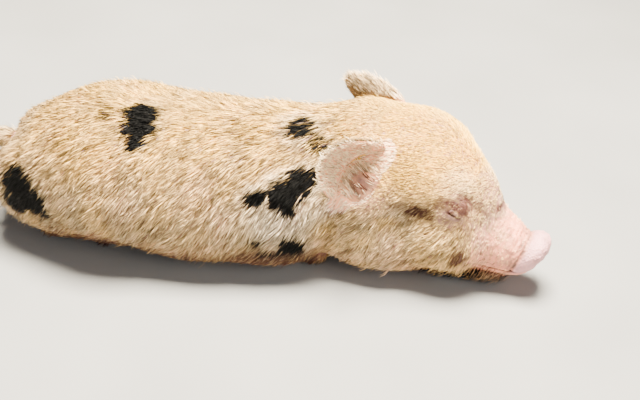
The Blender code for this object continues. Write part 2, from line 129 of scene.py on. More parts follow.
# Black spots: middle, radii, nose-down tilt and strength; the left side's are its own
SPOTS = (
    ((-147, -43, 56), (14, 15, 13), 30, 1.0),
    ((-138, -48, 51), (14, 12, 9.5), 40, 1.0),
    ((-152, -43, 44), (9, 9, 7), 10, 1.0),
    ((-76.5, -13, 95), (11.5, 10, 10), -6, 1.0),
    ((-76, -22, 92), (11, 11, 9), -8, 1.0),
    ((-75, -32, 88), (6.5, 7.5, 6), 0, 1.0),
    ((-97, -14, 95), (7, 6, 6), 0, 0.42),
    ((14.5, -47, 66.5), (10, 13, 9.5), 14, 1.0),
    ((23, -42, 73), (8.5, 11, 9), 20, 1.0),
    ((-1.5, -50, 65), (6.8, 9, 4.8), -8, 1.0),
    ((20, -14, 94), (10, 10, 9), 20, 0.9),
    ((31, -25, 91), (8, 9, 6), 20, 0.65),
    ((33, -39, 76), (9, 10, 4.4), -14, 0.9),
    ((-2, -56, 38), (6, 7, 3.6), 0, 0.7),
    ((20.5, -52, 34), (8.5, 9, 7), 25, 1.0),
    ((8, -53, 28), (10, 8, 2.6), 4, 0.6),
    ((-126, 45, 62), (16, 16, 11), -20, 1.0),
    ((-150, 22, 66), (7, 9, 6), 0, 0.9),
    ((-56, 55, 58), (9, 12, 13), 12, 1.0),
    ((-38, 57, 44), (5, 8, 5), 0, 0.8),
    ((8, 47, 68), (13, 14, 8), 24, 0.95),
    ((28, 28, 90), (8, 10, 7), 10, 0.7),
    ((-170, 14, 44), (8, 9, 6), 60, 0.8),
)

# Brown patches on the head, and painted shade in each ear's canal: middle on the left side, radii and
# strength
HEAD_BROWNS_AND_SHADE = (
    ((60, 31.5, 63.5), (10.5, 10, 5.6), 1.0),
    ((66, 32, 60.5), (5, 7, 3.2), 0.8),
    ((49, 34, 66.5), (10, 9, 3.6), 0.6),
    ((83.5, 26, 69.5), (13, 10, 6.2), 1.0),
    ((74, 30, 71), (8, 7, 4.6), 0.8),
    ((93, 19, 66), (7, 7, 4.4), 0.7),
    ((86, 30, 34.5), (7, 8, 6), 0.95),
    ((79, 31, 62), (8, 6, 3), 0.5),
    # Painted shade in the ear canal
    ((26, 35.5, 78), (9, 11, 8.5), 1.0),
    ((102.5, 5, 59.5), (2.6, 8, 2.6), 1.0),
    ((112, 12, 40), (6, 8, 6), 0.16),
)

# The skin's mesh, how deep the coat lies over it, and how many tufts it has
SKIN_WRAP = 1.75
SLOPE_STEP = 0.05
COAT_DEPTH = 0.9
COAT_TUFTS = 146000
SEED = 7


# Shapes of the form: each gives the distance of points from its surface, below zero inside
def turning(pitch=0.0, yaw=0.0, roll=0.0):
    """The matrix that turns a shape by these degrees: roll, then nose-down pitch, then yaw."""
    made = Matrix.Rotation(math.radians(yaw), 3, "Z") @ Matrix.Rotation(math.radians(pitch), 3, "Y")
    return np.array(made @ Matrix.Rotation(math.radians(roll), 3, "X"))


class Egg:
    """An ellipsoid."""

    def __init__(self, centre, radii, turn=None):
        self.centre = np.array(centre, float)
        self.radii = np.array(radii, float)
        self.turn = np.eye(3) if turn is None else turn

    def placed(self, turn, shift):
        return Egg(turn @ self.centre + shift, self.radii, turn @ self.turn)

    def distance(self, points):
        local = (points - self.centre) @ self.turn
        near = np.linalg.norm(local / self.radii, axis=1)
        steep = np.linalg.norm(local / self.radii**2, axis=1)
        return near * (near - 1) / np.maximum(steep, 1e-9)

    def balls(self):
        return [(self.centre, self.radii, self.turn)]


class Limb:
    """A straight round length whose radius runs from first to last."""

    def __init__(self, start, end, first, last):
        self.start = np.array(start, float)
        self.end = np.array(end, float)
        self.first = first
        self.last = last

    def placed(self, turn, shift):
        return Limb(turn @ self.start + shift, turn @ self.end + shift, self.first, self.last)

    def distance(self, points):
        line = self.end - self.start
        share = np.clip((points - self.start) @ line / (line @ line), 0, 1)
        middle = self.start + share[:, None] * line
        return np.linalg.norm(points - middle, axis=1) - (self.first + (self.last - self.first) * share)

    def balls(self):
        steps = 2 + int(np.linalg.norm(self.end - self.start) / (0.6 * min(self.first, self.last)))
        made = []
        for share in np.linspace(0, 1, steps):
            radius = self.first + (self.last - self.first) * share
            made.append((self.start + share * (self.end - self.start), np.full(3, radius), np.eye(3)))
        return made


def mirrored(point, side):
    """A place given on the left side, taken to either side."""
    return (point[0], side * point[1], point[2])


def trunk():
    """Barrel, belly, rump and shoulders, with how softly each one flows into the rest."""
    high = BACK_HEIGHT
    return [
        (Egg((-42, 0, high * 0.44), (83, HALF_TRUNK * 0.98, high * 0.525)), 10),
        (Egg((-93, 0, high * 0.545), (68, HALF_TRUNK * 1.01, high * 0.453)), 10),
        (Egg((RUMP_X + 56, 0, high * 0.425), (56, HALF_TRUNK * 0.72, high * 0.32)), 14),
        (Egg((SHOULDER_X, 0, high * 0.492), (50, HALF_TRUNK * 0.78, high * 0.415)), 14),
    ]


def foreleg(side):
    """Upper arm, elbow, forearm lying forwards, and the shank folded back under the chest."""
    knee = mirrored((31, 22.5, 8), side)
    elbow = mirrored((-14, 23.5, 11.5), side)
    fetlock = mirrored((7, 15, 6), side)
    return [
        (Egg(mirrored((8, 32, 38), side), (31, 19, 32), turning(pitch=-18)), 16),
        (Limb(mirrored((2, 31, 30), side), elbow, 16, 12), 10),
        (Limb(elbow, knee, 12, 8.6), 6),
        (Limb(knee, fetlock, 8.8, 6.6), 4),
        (Limb(fetlock, mirrored(FORE_TIP, side), 6.8, 6.2), 3),
        (Egg(mirrored((4, 9, 4), side), (4.6, 2.2, 2.2)), 1),
    ]


def hindleg(side):
    """Ham, folded stifle, shank back to the hock, and the foot forwards along the floor."""
    stifle = mirrored((-92, 27, 23), side)
    hock = mirrored((-140, 18.5, 9.5), side)
    fetlock = mirrored((-110, 19.5, 6.4), side)
    return [
        (Egg(mirrored((-132, 26, 42), side), (40, 17, 27.5), turning(pitch=20)), 14),
        (Limb(mirrored((-126, 23, 40), side), stifle, 19, 13), 10),
        (Limb(stifle, hock, 13, 9), 7),
        (Limb(hock, fetlock, 8.8, 7), 4),
        (Limb(fetlock, mirrored(HIND_TIP, side), 7, 6.4), 3),
        (Egg(mirrored((-106, 26.5, 3.4), side), (4.6, 2.2, 2.2)), 1),
        (Egg(mirrored((-106, 13.5, 3.4), side), (4.6, 2.2, 2.2)), 1),
    ]


def neck():
    """One thick length from the shoulders into the head."""
    return [(Limb((12, 0, 52.5), (60, -4, 61), 37.5, 43.5), 18)]


def head():
    """The head along its own +X from the poll, before it is turned on the neck."""
    half = HEAD_WIDTH / 2
    shapes = [
        (Egg((28.5, 0, 65.3), (38, half * 0.84, 38.2), turning(pitch=14)), 12),
        (Egg((55.3, 0, 76), (35.2, half * 0.78, 30.1), turning(pitch=45)), 12),
        (Egg((42, 0, 26), (46, half * 0.62, 25)), 12),
        (Egg((80.2, 0, 63), (22, half * 0.46, 19), turning(pitch=40)), 12),
        (Limb((69.7, 0, 47.5), (114.7, 0, 27.9), 26.7, 15.7), 12),
        (Limb((58, 0, 19.4), (104, 0, 15.6), 18.8, 10.8), 8),
        (Egg(DISC_CENTRE, (DISC_SWELL, DISC_WIDTH / 2, DISC_HEIGHT / 2), turning(pitch=DISC_PITCH)), 4),
    ]
    for side in SIDES.values():
        shapes += [
            (Egg(mirrored((30, half * 0.52, 30), side), (36, half * 0.47, 23), turning(yaw=-6 * side)), 12),
            (Egg(mirrored((74, half * 0.56, 62), side), (17, half * 0.20, 10), turning(pitch=40)), 8),
            (Egg(mirrored((70, half * 0.48, 38), side), (26, half * 0.36, 19), turning(pitch=24)), 10),
            (Egg(mirrored(EYE_CENTRE, side), np.full(3, LID_RADIUS)), 3),
        ]
    return shapes


def head_turn():
    """The turn and shift that take the head from its own place onto the neck."""
    return turning(yaw=HEAD_TURN), np.array((NECK_X, 0.0, 0.0))


def flesh():
    """Every shape of the body with its softness, in the body's own place."""
    shapes = trunk() + neck()
    for side in SIDES.values():
        shapes += foreleg(side) + hindleg(side)
    turn, shift = head_turn()
    return shapes + [(shape.placed(turn, shift), soft) for shape, soft in head()]


def hollows():
    """Shapes taken out of the flesh: the bowl of each ear."""
    turn, shift = head_turn()
    bowls = []
    for side in SIDES.values():
        bowl = Egg(mirrored(EAR_HOLLOW, side), (9.5, 6.5, 12.5), turning(yaw=-24 * side, pitch=36))
        bowls.append((bowl.placed(turn, shift), 4))
    return bowls


def merged_distance(points, shapes, bowls):
    """Distance from the smooth join of the shapes, less the hollows."""
    total = shapes[0][0].distance(points)
    for shape, soft in shapes[1:]:
        other = shape.distance(points)
        near = np.maximum(soft - np.abs(total - other), 0) / soft
        total = np.minimum(total, other) - near * near * soft / 4
    for shape, soft in bowls:
        other = -shape.distance(points)
        near = np.maximum(soft - np.abs(total - other), 0) / soft
        total = np.maximum(total, other) + near * near * soft / 4
    return total


def new_object(name, bm):
    """An object from a finished mesh, at the origin and in the scene."""
    mesh = bpy.data.meshes.new(name)
    bm.to_mesh(mesh)
    bm.free()
    made = bpy.data.objects.new(name, mesh)
    bpy.context.scene.collection.objects.link(made)
    return made


def applied(obj):
    """Turns an object's modifiers into its own mesh."""
    graph = bpy.context.evaluated_depsgraph_get()
    mesh = bpy.data.meshes.new_from_object(obj.evaluated_get(graph))
    obj.modifiers.clear()
    old, obj.data = obj.data, mesh
    bpy.data.meshes.remove(old)
    return obj


def rough_body(shapes, name, wrap_size):
    """Balls over every shape, wrapped in one closed mesh."""
    bm = bmesh.new()
    for shape, _ in shapes:
        for centre, radii, turn in shape.balls():
            place = Matrix.Translation(Vector(centre * MM)) @ Matrix(turn.tolist()).to_4x4()
            size = Matrix.Diagonal((*((radii + 1.5) * MM), 1))
            bmesh.ops.create_icosphere(bm, subdivisions=3, radius=1, matrix=place @ size)
    body = new_object(name, bm)
    wrap = body.modifiers.new("wrap", "REMESH")
    wrap.mode = "VOXEL"
    wrap.voxel_size = wrap_size * MM
    return applied(body)


def set_points(mesh, points):
    """Moves a mesh's points to these places in millimetres."""
    mesh.vertices.foreach_set("co", (points * MM).astype(np.float32).ravel())
    mesh.update()


def get_points(mesh):
    """Where a mesh's points are, in millimetres."""
    points = np.empty(len(mesh.vertices) * 3, np.float32)
    mesh.vertices.foreach_get("co", points)
    return points.reshape(-1, 3).astype(float) / MM


# How deep the coat lies, and the openings that only the skin has
def into_head(points):
    """Points in the head's own place, along its axis from the poll."""
    turn, shift = head_turn()
    return (points - shift) @ turn


def in_head(point):
    """Where a place of the head's own frame lies on the body."""
    turn, shift = head_turn()
    return turn @ np.array(point, float) + shift


def step_up(value, low, high):
    """Runs smoothly from 0 at low to 1 at high."""
    share = np.clip((value - low) / (high - low), 0, 1)
    return share * share * (3 - 2 * share)


def egg_reach(points, middle, radii):
    """How far out of an ellipsoid's middle each point lies, with 1 on its surface."""
    return np.linalg.norm((points - np.array(middle)) / np.array(radii), axis=1)


def on_both_sides(points, middle, radii, full, none):
    """1 in an ellipsoid and its mirror image up to the reach full, running out to 0 at none."""
    share = np.zeros(len(points))
    for side in SIDES.values():
        reach = egg_reach(points, mirrored(middle, side), radii)
        share = np.maximum(share, 1 - step_up(reach, full, none))
    return share


def from_eye(local, side):
    """How far each point of the head's own frame lies from the middle of one eye."""
    return np.linalg.norm(local - np.array(mirrored(EYE_CENTRE, side)), axis=1)


def from_lips(local):
    """How far above or below the line of the mouth each point of the head's own frame lies."""
    lips = np.array(MOUTH_LINE, float)[::-1]
    return np.abs(local[:, 2] - np.interp(local[:, 0], lips[:, 0], lips[:, 1]))


def coat_depth(points):
    """How far the skin lies under the solids: deep on the body, thin on the face, none on the disc."""
    local = into_head(points)
    on_head = step_up(local[:, 0], 0, 30)
    on_muzzle = step_up(local[:, 0], 84, 104)
    depth = COAT_DEPTH * (1 - 0.45 * on_head)
    return depth * (1 - on_muzzle) + 0.05 * on_muzzle


def from_disc(local):
    """How far each point of the head's own frame lies in front of the snout disc's rear edge."""
    return (local - np.array(DISC_ROOT)) @ turning(pitch=DISC_ROOT_PITCH)[:, 0]


def at_disc(local):
    """1 around the snout disc, 0 away from it."""
    around = 1 - step_up(np.linalg.norm(local - np.array(DISC_CENTRE), axis=1), 19, 24)
    return around * step_up(local[:, 2], 17, 21)


def nostrils():
    """The two cups that are hollowed into the snout disc, slanting outwards."""
    turn, shift = head_turn()
    face = turning(pitch=DISC_PITCH)
    cups = []
    for side in SIDES.values():
        spot = np.array(DISC_CENTRE) + face @ np.array((6.2, side * 5.2, 0.4))
        cup = Egg(spot, (5.6, 2.5, 3.7), face @ turning(roll=12 * side, yaw=-10 * side))
        cups.append((cup.placed(turn, shift), 1.6))
    return cups


def skin_settled(points, shapes, bowls, rounds=5):
    """Points moved onto the skin, which lies under the form by the coat's depth."""
    for _ in range(rounds):
        here = merged_distance(points, shapes, bowls) + coat_depth(points)
        slope = np.empty_like(points)
        for axis in range(3):
            ahead = points.copy()
            ahead[:, axis] += SLOPE_STEP
            there = merged_distance(ahead, shapes, bowls) + coat_depth(ahead)
            slope[:, axis] = (there - here) / SLOPE_STEP
        steep = np.maximum((slope**2).sum(axis=1), 0.05)
        points = points - slope * np.clip(here / steep, -3, 3)[:, None]
    return points


def ripple(points, length, seed, count=7):
    """A smooth random field between about -1 and 1 whose bumps are this long."""
    draw = np.random.default_rng(seed)
    total = np.zeros(len(points))
    for _ in range(count):
        way = draw.normal(size=3)
        way *= 2 * math.pi / length * draw.uniform(0.55, 1.35) / np.linalg.norm(way)
        total += np.sin(points @ way + draw.uniform(0, 2 * math.pi))
    return total / math.sqrt(count) * 0.9


# Folds, lids and lines pressed into the skin
def along_line(points, line):
    """Distance from a bent line, and how far along it the nearest place is, from 0 to 1."""
    line = np.array(line, float)
    lengths = np.linalg.norm(np.diff(line, axis=0), axis=1)
    starts = np.concatenate([[0], np.cumsum(lengths)])
    best = np.full(len(points), 1e9)
    where = np.zeros(len(points))
    for first, second, start, length in zip(line, line[1:], starts, lengths):
        way = (second - first) / length
        share = np.clip((points - first) @ way, 0, length)
        away = np.linalg.norm(points - first - share[:, None] * way, axis=1)
        closer = away < best
        best[closer] = away[closer]
        where[closer] = (start + share[closer]) / starts[-1]
    return best, where


def eye_curve(side, lift=0.0, half=4.1, sag=0.15, reach=None):
    """A curved line over the closed lids: the slit itself, or a fold above or below it."""
    slant = turning(yaw=-8 * side) @ turning(pitch=EYE_SLANT)
    reach = LID_RADIUS if reach is None else reach
    line = []
    for share in np.linspace(-1, 1, 9):
        up = lift * (1 - share**2 * 0.75) - sag * (1 - share**2)
        over = slant @ np.array((share * half, 0, up))
        out = np.array((0.9, side * LID_RADIUS, 0.8))
        spot = over + out
        spot = spot / np.linalg.norm(spot) * reach
        line.append(np.array(mirrored(EYE_CENTRE, side)) + spot)
    return line


def pressed(points):
    """How deep the skin is pressed in at each point by slits, lines and folds."""
    local = into_head(points)
    depth = np.zeros(len(points))
    for side in SIDES.values():
        near = from_eye(local, side) < 22
        if near.any():
            spots = local[near]
            cut = np.zeros(len(spots))
            away, where = along_line(spots, eye_curve(side))
            ends = np.minimum(step_up(where, 0, 0.12), step_up(1 - where, 0, 0.12))
            cut += 2.3 * np.exp(-((away / 0.55) ** 2)) * (0.25 + 0.75 * ends)
            for lift, half, deep, wide in LID_FOLDS:
                away, where = along_line(spots, eye_curve(side, lift, half))
                ends = np.minimum(step_up(where, 0, 0.3), step_up(1 - where, 0, 0.3))
                cut += deep * np.exp(-((away / wide) ** 2)) * ends
            depth[near] += cut
        mouth = (local[:, 0] > 74) & (local[:, 2] < 36)
        if mouth.any():
            spots = local[mouth]
            across = from_lips(spots)
            ends = step_up(spots[:, 0], 82, 90)
            cut = 1.9 * np.exp(-((across / 0.7) ** 2)) * ends
            cut -= 0.5 * np.exp(-(((across - 2.2) / 1.3) ** 2)) * ends
            depth[mouth] += np.where(spots[:, 1] * side > 0, cut, 0)
    on_muzzle = step_up(local[:, 0], 99, 107) * (1 - step_up(from_disc(local), -3, -1))
    upper = step_up(local[:, 2], 20, 32)
    rings = np.sin((local[:, 0] + 1.1 * ripple(points, 9, 11)) * 2 * math.pi / 3.4)
    depth += 0.40 * on_muzzle * upper * np.maximum(rings, -0.2)
    cells = np.sin(local[:, 1] * 2 * math.pi / 4.2 + 2.0 * ripple(points, 7, 12))
    depth += 0.16 * on_muzzle * cells
    bridge = np.exp(-(((local[:, 0] - 101) / 5) ** 2)) * upper
    bars = np.sin((local[:, 0] + ripple(points, 12, 13)) * 2 * math.pi / 5.5)
    depth += 0.35 * bridge * np.maximum(bars, -0.3)
    front = from_disc(local)
    round_disc = at_disc(local)
    for at, deep, wide in DISC_GROOVES:
        depth += deep * np.exp(-(((front - at) / wide) ** 2)) * round_disc * (upper if at < -2 else 1)
    depth -= 0.5 * np.exp(-(((front - 2.6) / 2.4) ** 2)) * round_disc
    depth += 0.16 * step_up(front, 0, 3) * ripple(points, 3.0, 14) * round_disc
    return depth


def creased(points):
    """Long folds of loose skin: behind the elbow, under the jowl and across the neck."""
    depth = np.zeros(len(points))
    for side in SIDES.values():
        for line, deep, wide in FOLDS:
            spots = [mirrored(spot, side) for spot in line]
            away, where = along_line(points, spots)
            ends = np.minimum(step_up(where, 0, 0.35), step_up(1 - where, 0, 0.35))
            depth += deep * np.exp(-((away / wide) ** 2)) * ends
    return depth


# Ears and tail
def ear_frame(side):
    """The middle of an ear's root, its tip, the way across it and the way its cup faces."""
    word = "right" if side == RIGHT else "left"
    tip = np.array(mirrored(EAR_TIPS[word], side))
    front = np.array(mirrored(EAR_FRONTS[word], side))
    back = np.array(mirrored(EAR_BACK, side))
    root = (front + back) / 2
    wide = (front - back) / np.linalg.norm(front - back)
    inside = np.cross(wide, tip - root) * -side
    return root, tip, wide, inside / np.linalg.norm(inside)


def ear_point(along, across, side):
    """A point in the middle of the ear's thickness, in the head's own place."""
    root, tip, wide, inside = ear_frame(side)
    rise = max(along, 0.0)
    half = EAR_WIDTH / 2 * (1 - rise**2.4) ** 0.5 * (1 + 0.05 * math.sin(math.pi * rise))
    cup = EAR_CUP * (1 - across**2) * (1 - rise) ** 0.8 - 3.0 * math.sin(math.pi * rise) * across**2
    point = root + (tip - root) * along + wide * across * half - inside * cup
    if along < 0:
        point += np.array((0, -side * 0.86, -0.5)) * -along * 46
    return point


def ear(name, side, rows=34, columns=26, thin=0.45):
    """A cupped leaf with a rounded rim, ridged inside, its root sunk in the head."""
    turn, shift = head_turn()
    alongs = [-0.2, -0.1] + [math.sin(math.pi / 2 * row / rows) for row in range(rows)] + [0.9995]
    acrosses = np.sin(np.linspace(-math.pi / 2, math.pi / 2, columns))
    grid = np.array([[ear_point(along, across, side) for across in acrosses] for along in alongs])
    grid = grid @ turn.T + shift
    out = np.cross(np.gradient(grid, axis=0), np.gradient(grid, axis=1))
    out[-1] = out[-2]
    out /= np.maximum(np.linalg.norm(out, axis=2), 1e-9)[:, :, None]
    alongs = np.array(alongs)[:, None]
    rim = np.sqrt(np.maximum(1 - np.abs(acrosses[None, :]) ** 5, 0.04)) * np.sqrt(
        np.maximum(1 - np.maximum(alongs, 0) ** 9, 0.04)
    )
    thick = (EAR_THICKNESS * (1.25 - 0.45 * np.maximum(alongs, 0)) - thin) * rim
    ridges = 0.28 * np.sin(acrosses[None, :] * 11 + 1.5 * alongs) * (1 - np.maximum(alongs, 0)) * rim
    bm = bmesh.new()
    layers = []
    for way in (0.5, -0.5):
        lift = thick * way + (ridges if way * side < 0 else 0)
        spots = grid + out * lift[:, :, None]
        layers.append([[bm.verts.new(Vector(spot) * MM) for spot in row] for row in spots])
    for layer, flip in zip(layers, (False, True)):
        for first, second in zip(layer, layer[1:]):
            for index in range(columns - 1):
                face = (first[index], first[index + 1], second[index + 1], second[index])
                bm.faces.new(face[::-1] if flip else face)
    rims = []
    for layer in layers:
        left = [row[0] for row in layer]
        right = [row[-1] for row in reversed(layer)]
        rims.append(left + layer[-1][1:-1] + right + layer[0][-2:0:-1])
    top, low = rims
    for index in range(len(top)):
        after = (index + 1) % len(top)
        bm.faces.new((top[index], top[after], low[after], low[index]))
    bmesh.ops.recalc_face_normals(bm, faces=bm.faces)
    return new_object(name, bm)


def tail_line():
    """The middle of the tail, from inside the rump to its tip."""
    return [np.array(TAIL_ROOT) + np.array(step) for step in TAIL_STEPS]


def smooth_line(line, count):
    """More points along a bent line, rounded at its corners."""
    line = np.array(line, float)
    ends = np.vstack([2 * line[0] - line[1], line, 2 * line[-1] - line[-2]])
    made = []
    for share in np.linspace(0, len(line) - 1.001, count):
        index = int(share)
        t = share - index
        a, b, c, d = ends[index : index + 4]
        curve = 2 * b + (c - a) * t + (2 * a - 5 * b + 4 * c - d) * t**2
        made.append(0.5 * (curve + (3 * b - a - 3 * c + d) * t**3))
    return made


def tail(name):
    """A tapering curl, ringed by faint creases, with a rounded tip."""
    line = smooth_line(tail_line(), 60)
    bm = bmesh.new()
    rings = []
    side_way = np.array((0, 1.0, 0))
    for index, spot in enumerate(line):
        ahead = line[min(index + 1, len(line) - 1)] - line[max(index - 1, 0)]
        ahead = ahead / np.linalg.norm(ahead)
        side_way = side_way - ahead * (side_way @ ahead)
        side_way /= np.linalg.norm(side_way)
        up = np.cross(ahead, side_way)
        share = index / (len(line) - 1)
        radius = TAIL_RADIUS + (TAIL_TIP_RADIUS - TAIL_RADIUS) * share
        radius += 0.06 * math.sin(index * 1.9)
        radius *= math.sqrt(max(1 - max(share - 0.94, 0) ** 2 / 0.0036 * 0.96, 0.03))
        ring = []
        for corner in range(TAIL_CORNERS):
            angle = 2 * math.pi * corner / TAIL_CORNERS
            out = math.cos(angle) * side_way + math.sin(angle) * up
            ring.append(bm.verts.new(Vector(spot + radius * out) * MM))
        rings.append(ring)
    for first, second in zip(rings, rings[1:]):
        for corner in range(TAIL_CORNERS):
            after = (corner + 1) % TAIL_CORNERS
            bm.faces.new((first[corner], first[after], second[after], second[corner]))
    bm.faces.new(rings[0][::-1])
    bm.faces.new(rings[-1])
    bmesh.ops.recalc_face_normals(bm, faces=bm.faces)
    return new_object(name, bm)


# The skin
def finer(obj, wanted):
    """Splits the faces whose middles are wanted, and leaves the rest."""
    bm = bmesh.new()
    bm.from_mesh(obj.data)
    middles = np.array([face.calc_center_median() for face in bm.faces]) / MM
    chosen = wanted(middles)
    edges = {edge for face, take in zip(bm.faces, chosen) if take for edge in face.edges}
    bmesh.ops.subdivide_edges(bm, edges=list(edges), cuts=1, use_grid_fill=True)
    bmesh.ops.triangulate(bm, faces=[face for face in bm.faces if len(face.verts) > 4])
    bm.to_mesh(obj.data)
    bm.free()


def face_detail(points):
    """Where the skin needs a finer mesh: muzzle, mouth and lids."""
    local = into_head(points)
    wanted = local[:, 0] > 93
    for side in SIDES.values():
        wanted |= from_eye(local, side) < 15
    wanted |= (local[:, 0] > 80) & (from_lips(local) < 6)
    return wanted


def slit_detail(points):
    """Where the mesh needs to be finer still: along the slit between the lids, and the lips."""
    local = into_head(points)
    wanted = np.zeros(len(points), bool)
    for side in SIDES.values():
        near = from_eye(local, side) < 18
        if near.any():
            away, _ = along_line(local[near], eye_curve(side))
            wanted[near] = away < 3.2
    wanted |= (local[:, 0] > 82) & (local[:, 0] < 122) & (from_lips(local) < 2.6)
    return wanted


def vertex_normals(mesh):
    """Which way the surface faces at each point of a mesh."""
    normals = np.empty(len(mesh.vertices) * 3, np.float32)
    mesh.vertex_normals.foreach_get("vector", normals)
    return normals.reshape(-1, 3).astype(float)


def joined(obj, others):
    """One closed mesh from an object and the others, which are then removed."""
    group = bpy.data.collections.new("others")
    bpy.context.scene.collection.children.link(group)
    for other in others:
        bpy.context.scene.collection.objects.unlink(other)
        group.objects.link(other)
    change = obj.modifiers.new("join", "BOOLEAN")
    change.operand_type = "COLLECTION"
    change.collection = group
    change.solver = "EXACT"
    change.operation = "UNION"
    applied(obj)
    for other in others:
        bpy.data.objects.remove(other)
    bpy.data.collections.remove(group)


def softened_seams(obj, shapes, bowls):
    """Rounds the inner corner where ears and tail grow out of the skin."""
    points = get_points(obj.data)
    flat = np.abs(merged_distance(points, shapes, bowls) + coat_depth(points))
    local = into_head(points)
    near_ear = (local[:, 0] > -2) & (local[:, 0] < 46) & (np.abs(local[:, 1]) > 12) & (local[:, 2] > 52)
    near_tail = np.linalg.norm(points - np.array(TAIL_SEAM), axis=1) < 10
    seam = (flat > 0.12) & (flat < 1.5) & (near_ear | near_tail)
    bm = bmesh.new()
    bm.from_mesh(obj.data)
    bm.verts.ensure_lookup_table()
    ring = [bm.verts[index] for index in np.flatnonzero(seam)]
    ring = list({vert for start in ring for edge in start.link_edges for vert in edge.verts})
    for _ in range(4):
        bmesh.ops.smooth_vert(bm, verts=ring, factor=0.5, use_axis_x=True, use_axis_y=True, use_axis_z=True)
    bm.to_mesh(obj.data)
    bm.free()


def make_skin(shapes):
    """Body, head, legs, ears and tail as one closed skin, with its folds pressed in."""
    bowls = hollows() + nostrils()
    obj = rough_body(shapes, "skin", SKIN_WRAP)
    set_points(obj.data, skin_settled(get_points(obj.data), shapes, bowls, rounds=8))
    for _ in range(2):
        even = obj.modifiers.new("even", "SMOOTH")
        even.iterations = 2
        applied(obj)
        set_points(obj.data, skin_settled(get_points(obj.data), shapes, bowls, rounds=2))
    finer(obj, face_detail)
    finer(obj, slit_detail)
    set_points(obj.data, skin_settled(get_points(obj.data), shapes, bowls, rounds=3))
    points = get_points(obj.data)
    depth = pressed(points) + creased(points) + 0.10 * ripple(points, 16, 3) + 0.05 * ripple(points, 5, 4)
    points = points - vertex_normals(obj.data) * depth[:, None]
    points[:, 2] = np.maximum(points[:, 2], 0.05)
    set_points(obj.data, points)
    parts = [ear("ear skin " + word, side) for word, side in SIDES.items()]
    joined(obj, parts + [tail("tail skin")])
    softened_seams(obj, shapes, bowls)
    obj.data.shade_smooth()
    return obj


# Markings, the same for skin and coat
def spotted(points, grow=1.0, smudge=0.35):
    """How black the animal is at each point, from 0 to 1."""
    black = np.zeros(len(points))
    rough = 0.13 * ripple(points, 11, 21) + 0.08 * ripple(points, 4.2, 22)
    for centre, radii, tilt, strength in SPOTS:
        local = (points - np.array(centre)) @ turning(pitch=tilt) / (np.array(radii) * grow)
        reach = np.linalg.norm(local, axis=1) + rough
        black = np.maximum(black, strength * (1 - step_up(reach, 1 - smudge * 0.6, 1 + smudge * 0.4)))
    return black


def shaded(points):
    """How gold, brown, pale and pink the animal is at each point, each from 0 to 1, with painted shade in
    the brown.
    """
    local = into_head(points)
    brown = np.zeros(len(points))
    rough = 0.22 * ripple(points, 5, 31)
    # Brown patches on the head, and painted shade in the ear canals
    for centre, radii, strength in HEAD_BROWNS_AND_SHADE:
        for side in SIDES.values():
            reach = egg_reach(local, mirrored(centre, side), radii) + rough
            brown = np.maximum(brown, strength * (1 - step_up(reach, 0.5, 1.25)))
    # Brown on the forearms, partly painted shade under the chest
    forearm_brown_and_shade = on_both_sides(points, *FOREARM_BROWN_AND_SHADE)
    stifles = on_both_sides(points, *STIFLE_BROWN)
    blotches = step_up(local[:, 0], 92, 104) * np.maximum(ripple(points, 6.5, 38), 0)
    brown = np.maximum.reduce([brown, 0.95 * forearm_brown_and_shade, 0.30 * stifles, 0.22 * blotches])
    # Painted shade along the underside of the trunk, where it rests on the floor
    painted_belly_shade = (1 - step_up(points[:, 2], 14, 32)) * (1 - step_up(local[:, 0], -10, 20))
    brown = np.maximum(brown, painted_belly_shade * (0.92 + 0.15 * ripple(points, 12, 37)))
    crown = step_up(local[:, 2], 58, 88) * step_up(local[:, 0], 10, 34) * (1 - step_up(local[:, 0], 86, 99))
    back = 0.12 + 0.58 * step_up(points[:, 2], 56, 94)
    gold = np.clip(np.maximum(crown, back) + 0.12 * ripple(points, 26, 32), 0, 1)
    lower_face = (local[:, 0] > 0) & (local[:, 2] < 58)
    gold = np.where(lower_face, gold + 0.25 * np.maximum(ripple(points, 15, 33), 0), gold)
    ahead = 0.2 + 0.8 * step_up(points[:, 0], -30, 0)
    fringe = np.maximum(spotted(points, 1.6, 0.9) - 0.8 * spotted(points), 0)
    pale = 0.5 * fringe * (1 - crown) * ahead
    pale = np.maximum(pale, 0.55 * on_both_sides(points, *SHOULDER_LIGHT))
    cheek = step_up(local[:, 0], 6, 30) * (1 - step_up(local[:, 2], 56, 74))
    pale = np.maximum(pale, 0.12 * cheek)
    cheek_gold = 0.5 * cheek * step_up(local[:, 0], 48, 66)
    gold = np.maximum(gold, cheek_gold * (1 - step_up(local[:, 0], 92, 100)))
    low = 1 - step_up(points[:, 2], 10, 42)
    forwards = local[:, 0] + 3.5 * ripple(points, 9, 36) - 20 * step_up(local[:, 2], 50, 62)
    muzzle = step_up(forwards, 86, 108)
    pink = np.clip(0.45 * low + muzzle + 0.15 * ripple(points, 30, 34), 0, 1)
    return gold, brown, pale, pink


def on_ears(points, normals, shapes, bowls):
    """Which points lie on the ears' free leaves, and how far each faces into its cup."""
    turn, _ = head_turn()
    local = into_head(points)
    clear = merged_distance(points, shapes, bowls) + coat_depth(points)
    around = (local[:, 0] > -24) & (local[:, 0] < 52) & (local[:, 2] > 55) & (np.abs(local[:, 1]) > 10)
    free = (clear > 0.7) & around
    facing = np.zeros(len(points))
    ways = np.zeros((len(points), 3))
    for side in SIDES.values():
        root, tip, _, inside = ear_frame(side)
        mine = local[:, 1] * side > 0
        facing[mine] = normals[mine] @ (turn @ inside)
        ways[mine] = turn @ ((tip - root) / np.linalg.norm(tip - root))
    return free, facing, ways


def set_values(mesh, name, values):
    """Gives a mesh one number at each of its points, for the finishes to read."""
    mesh.attributes.new(name, "FLOAT", "POINT").data.foreach_set("value", np.asarray(values, np.float32))


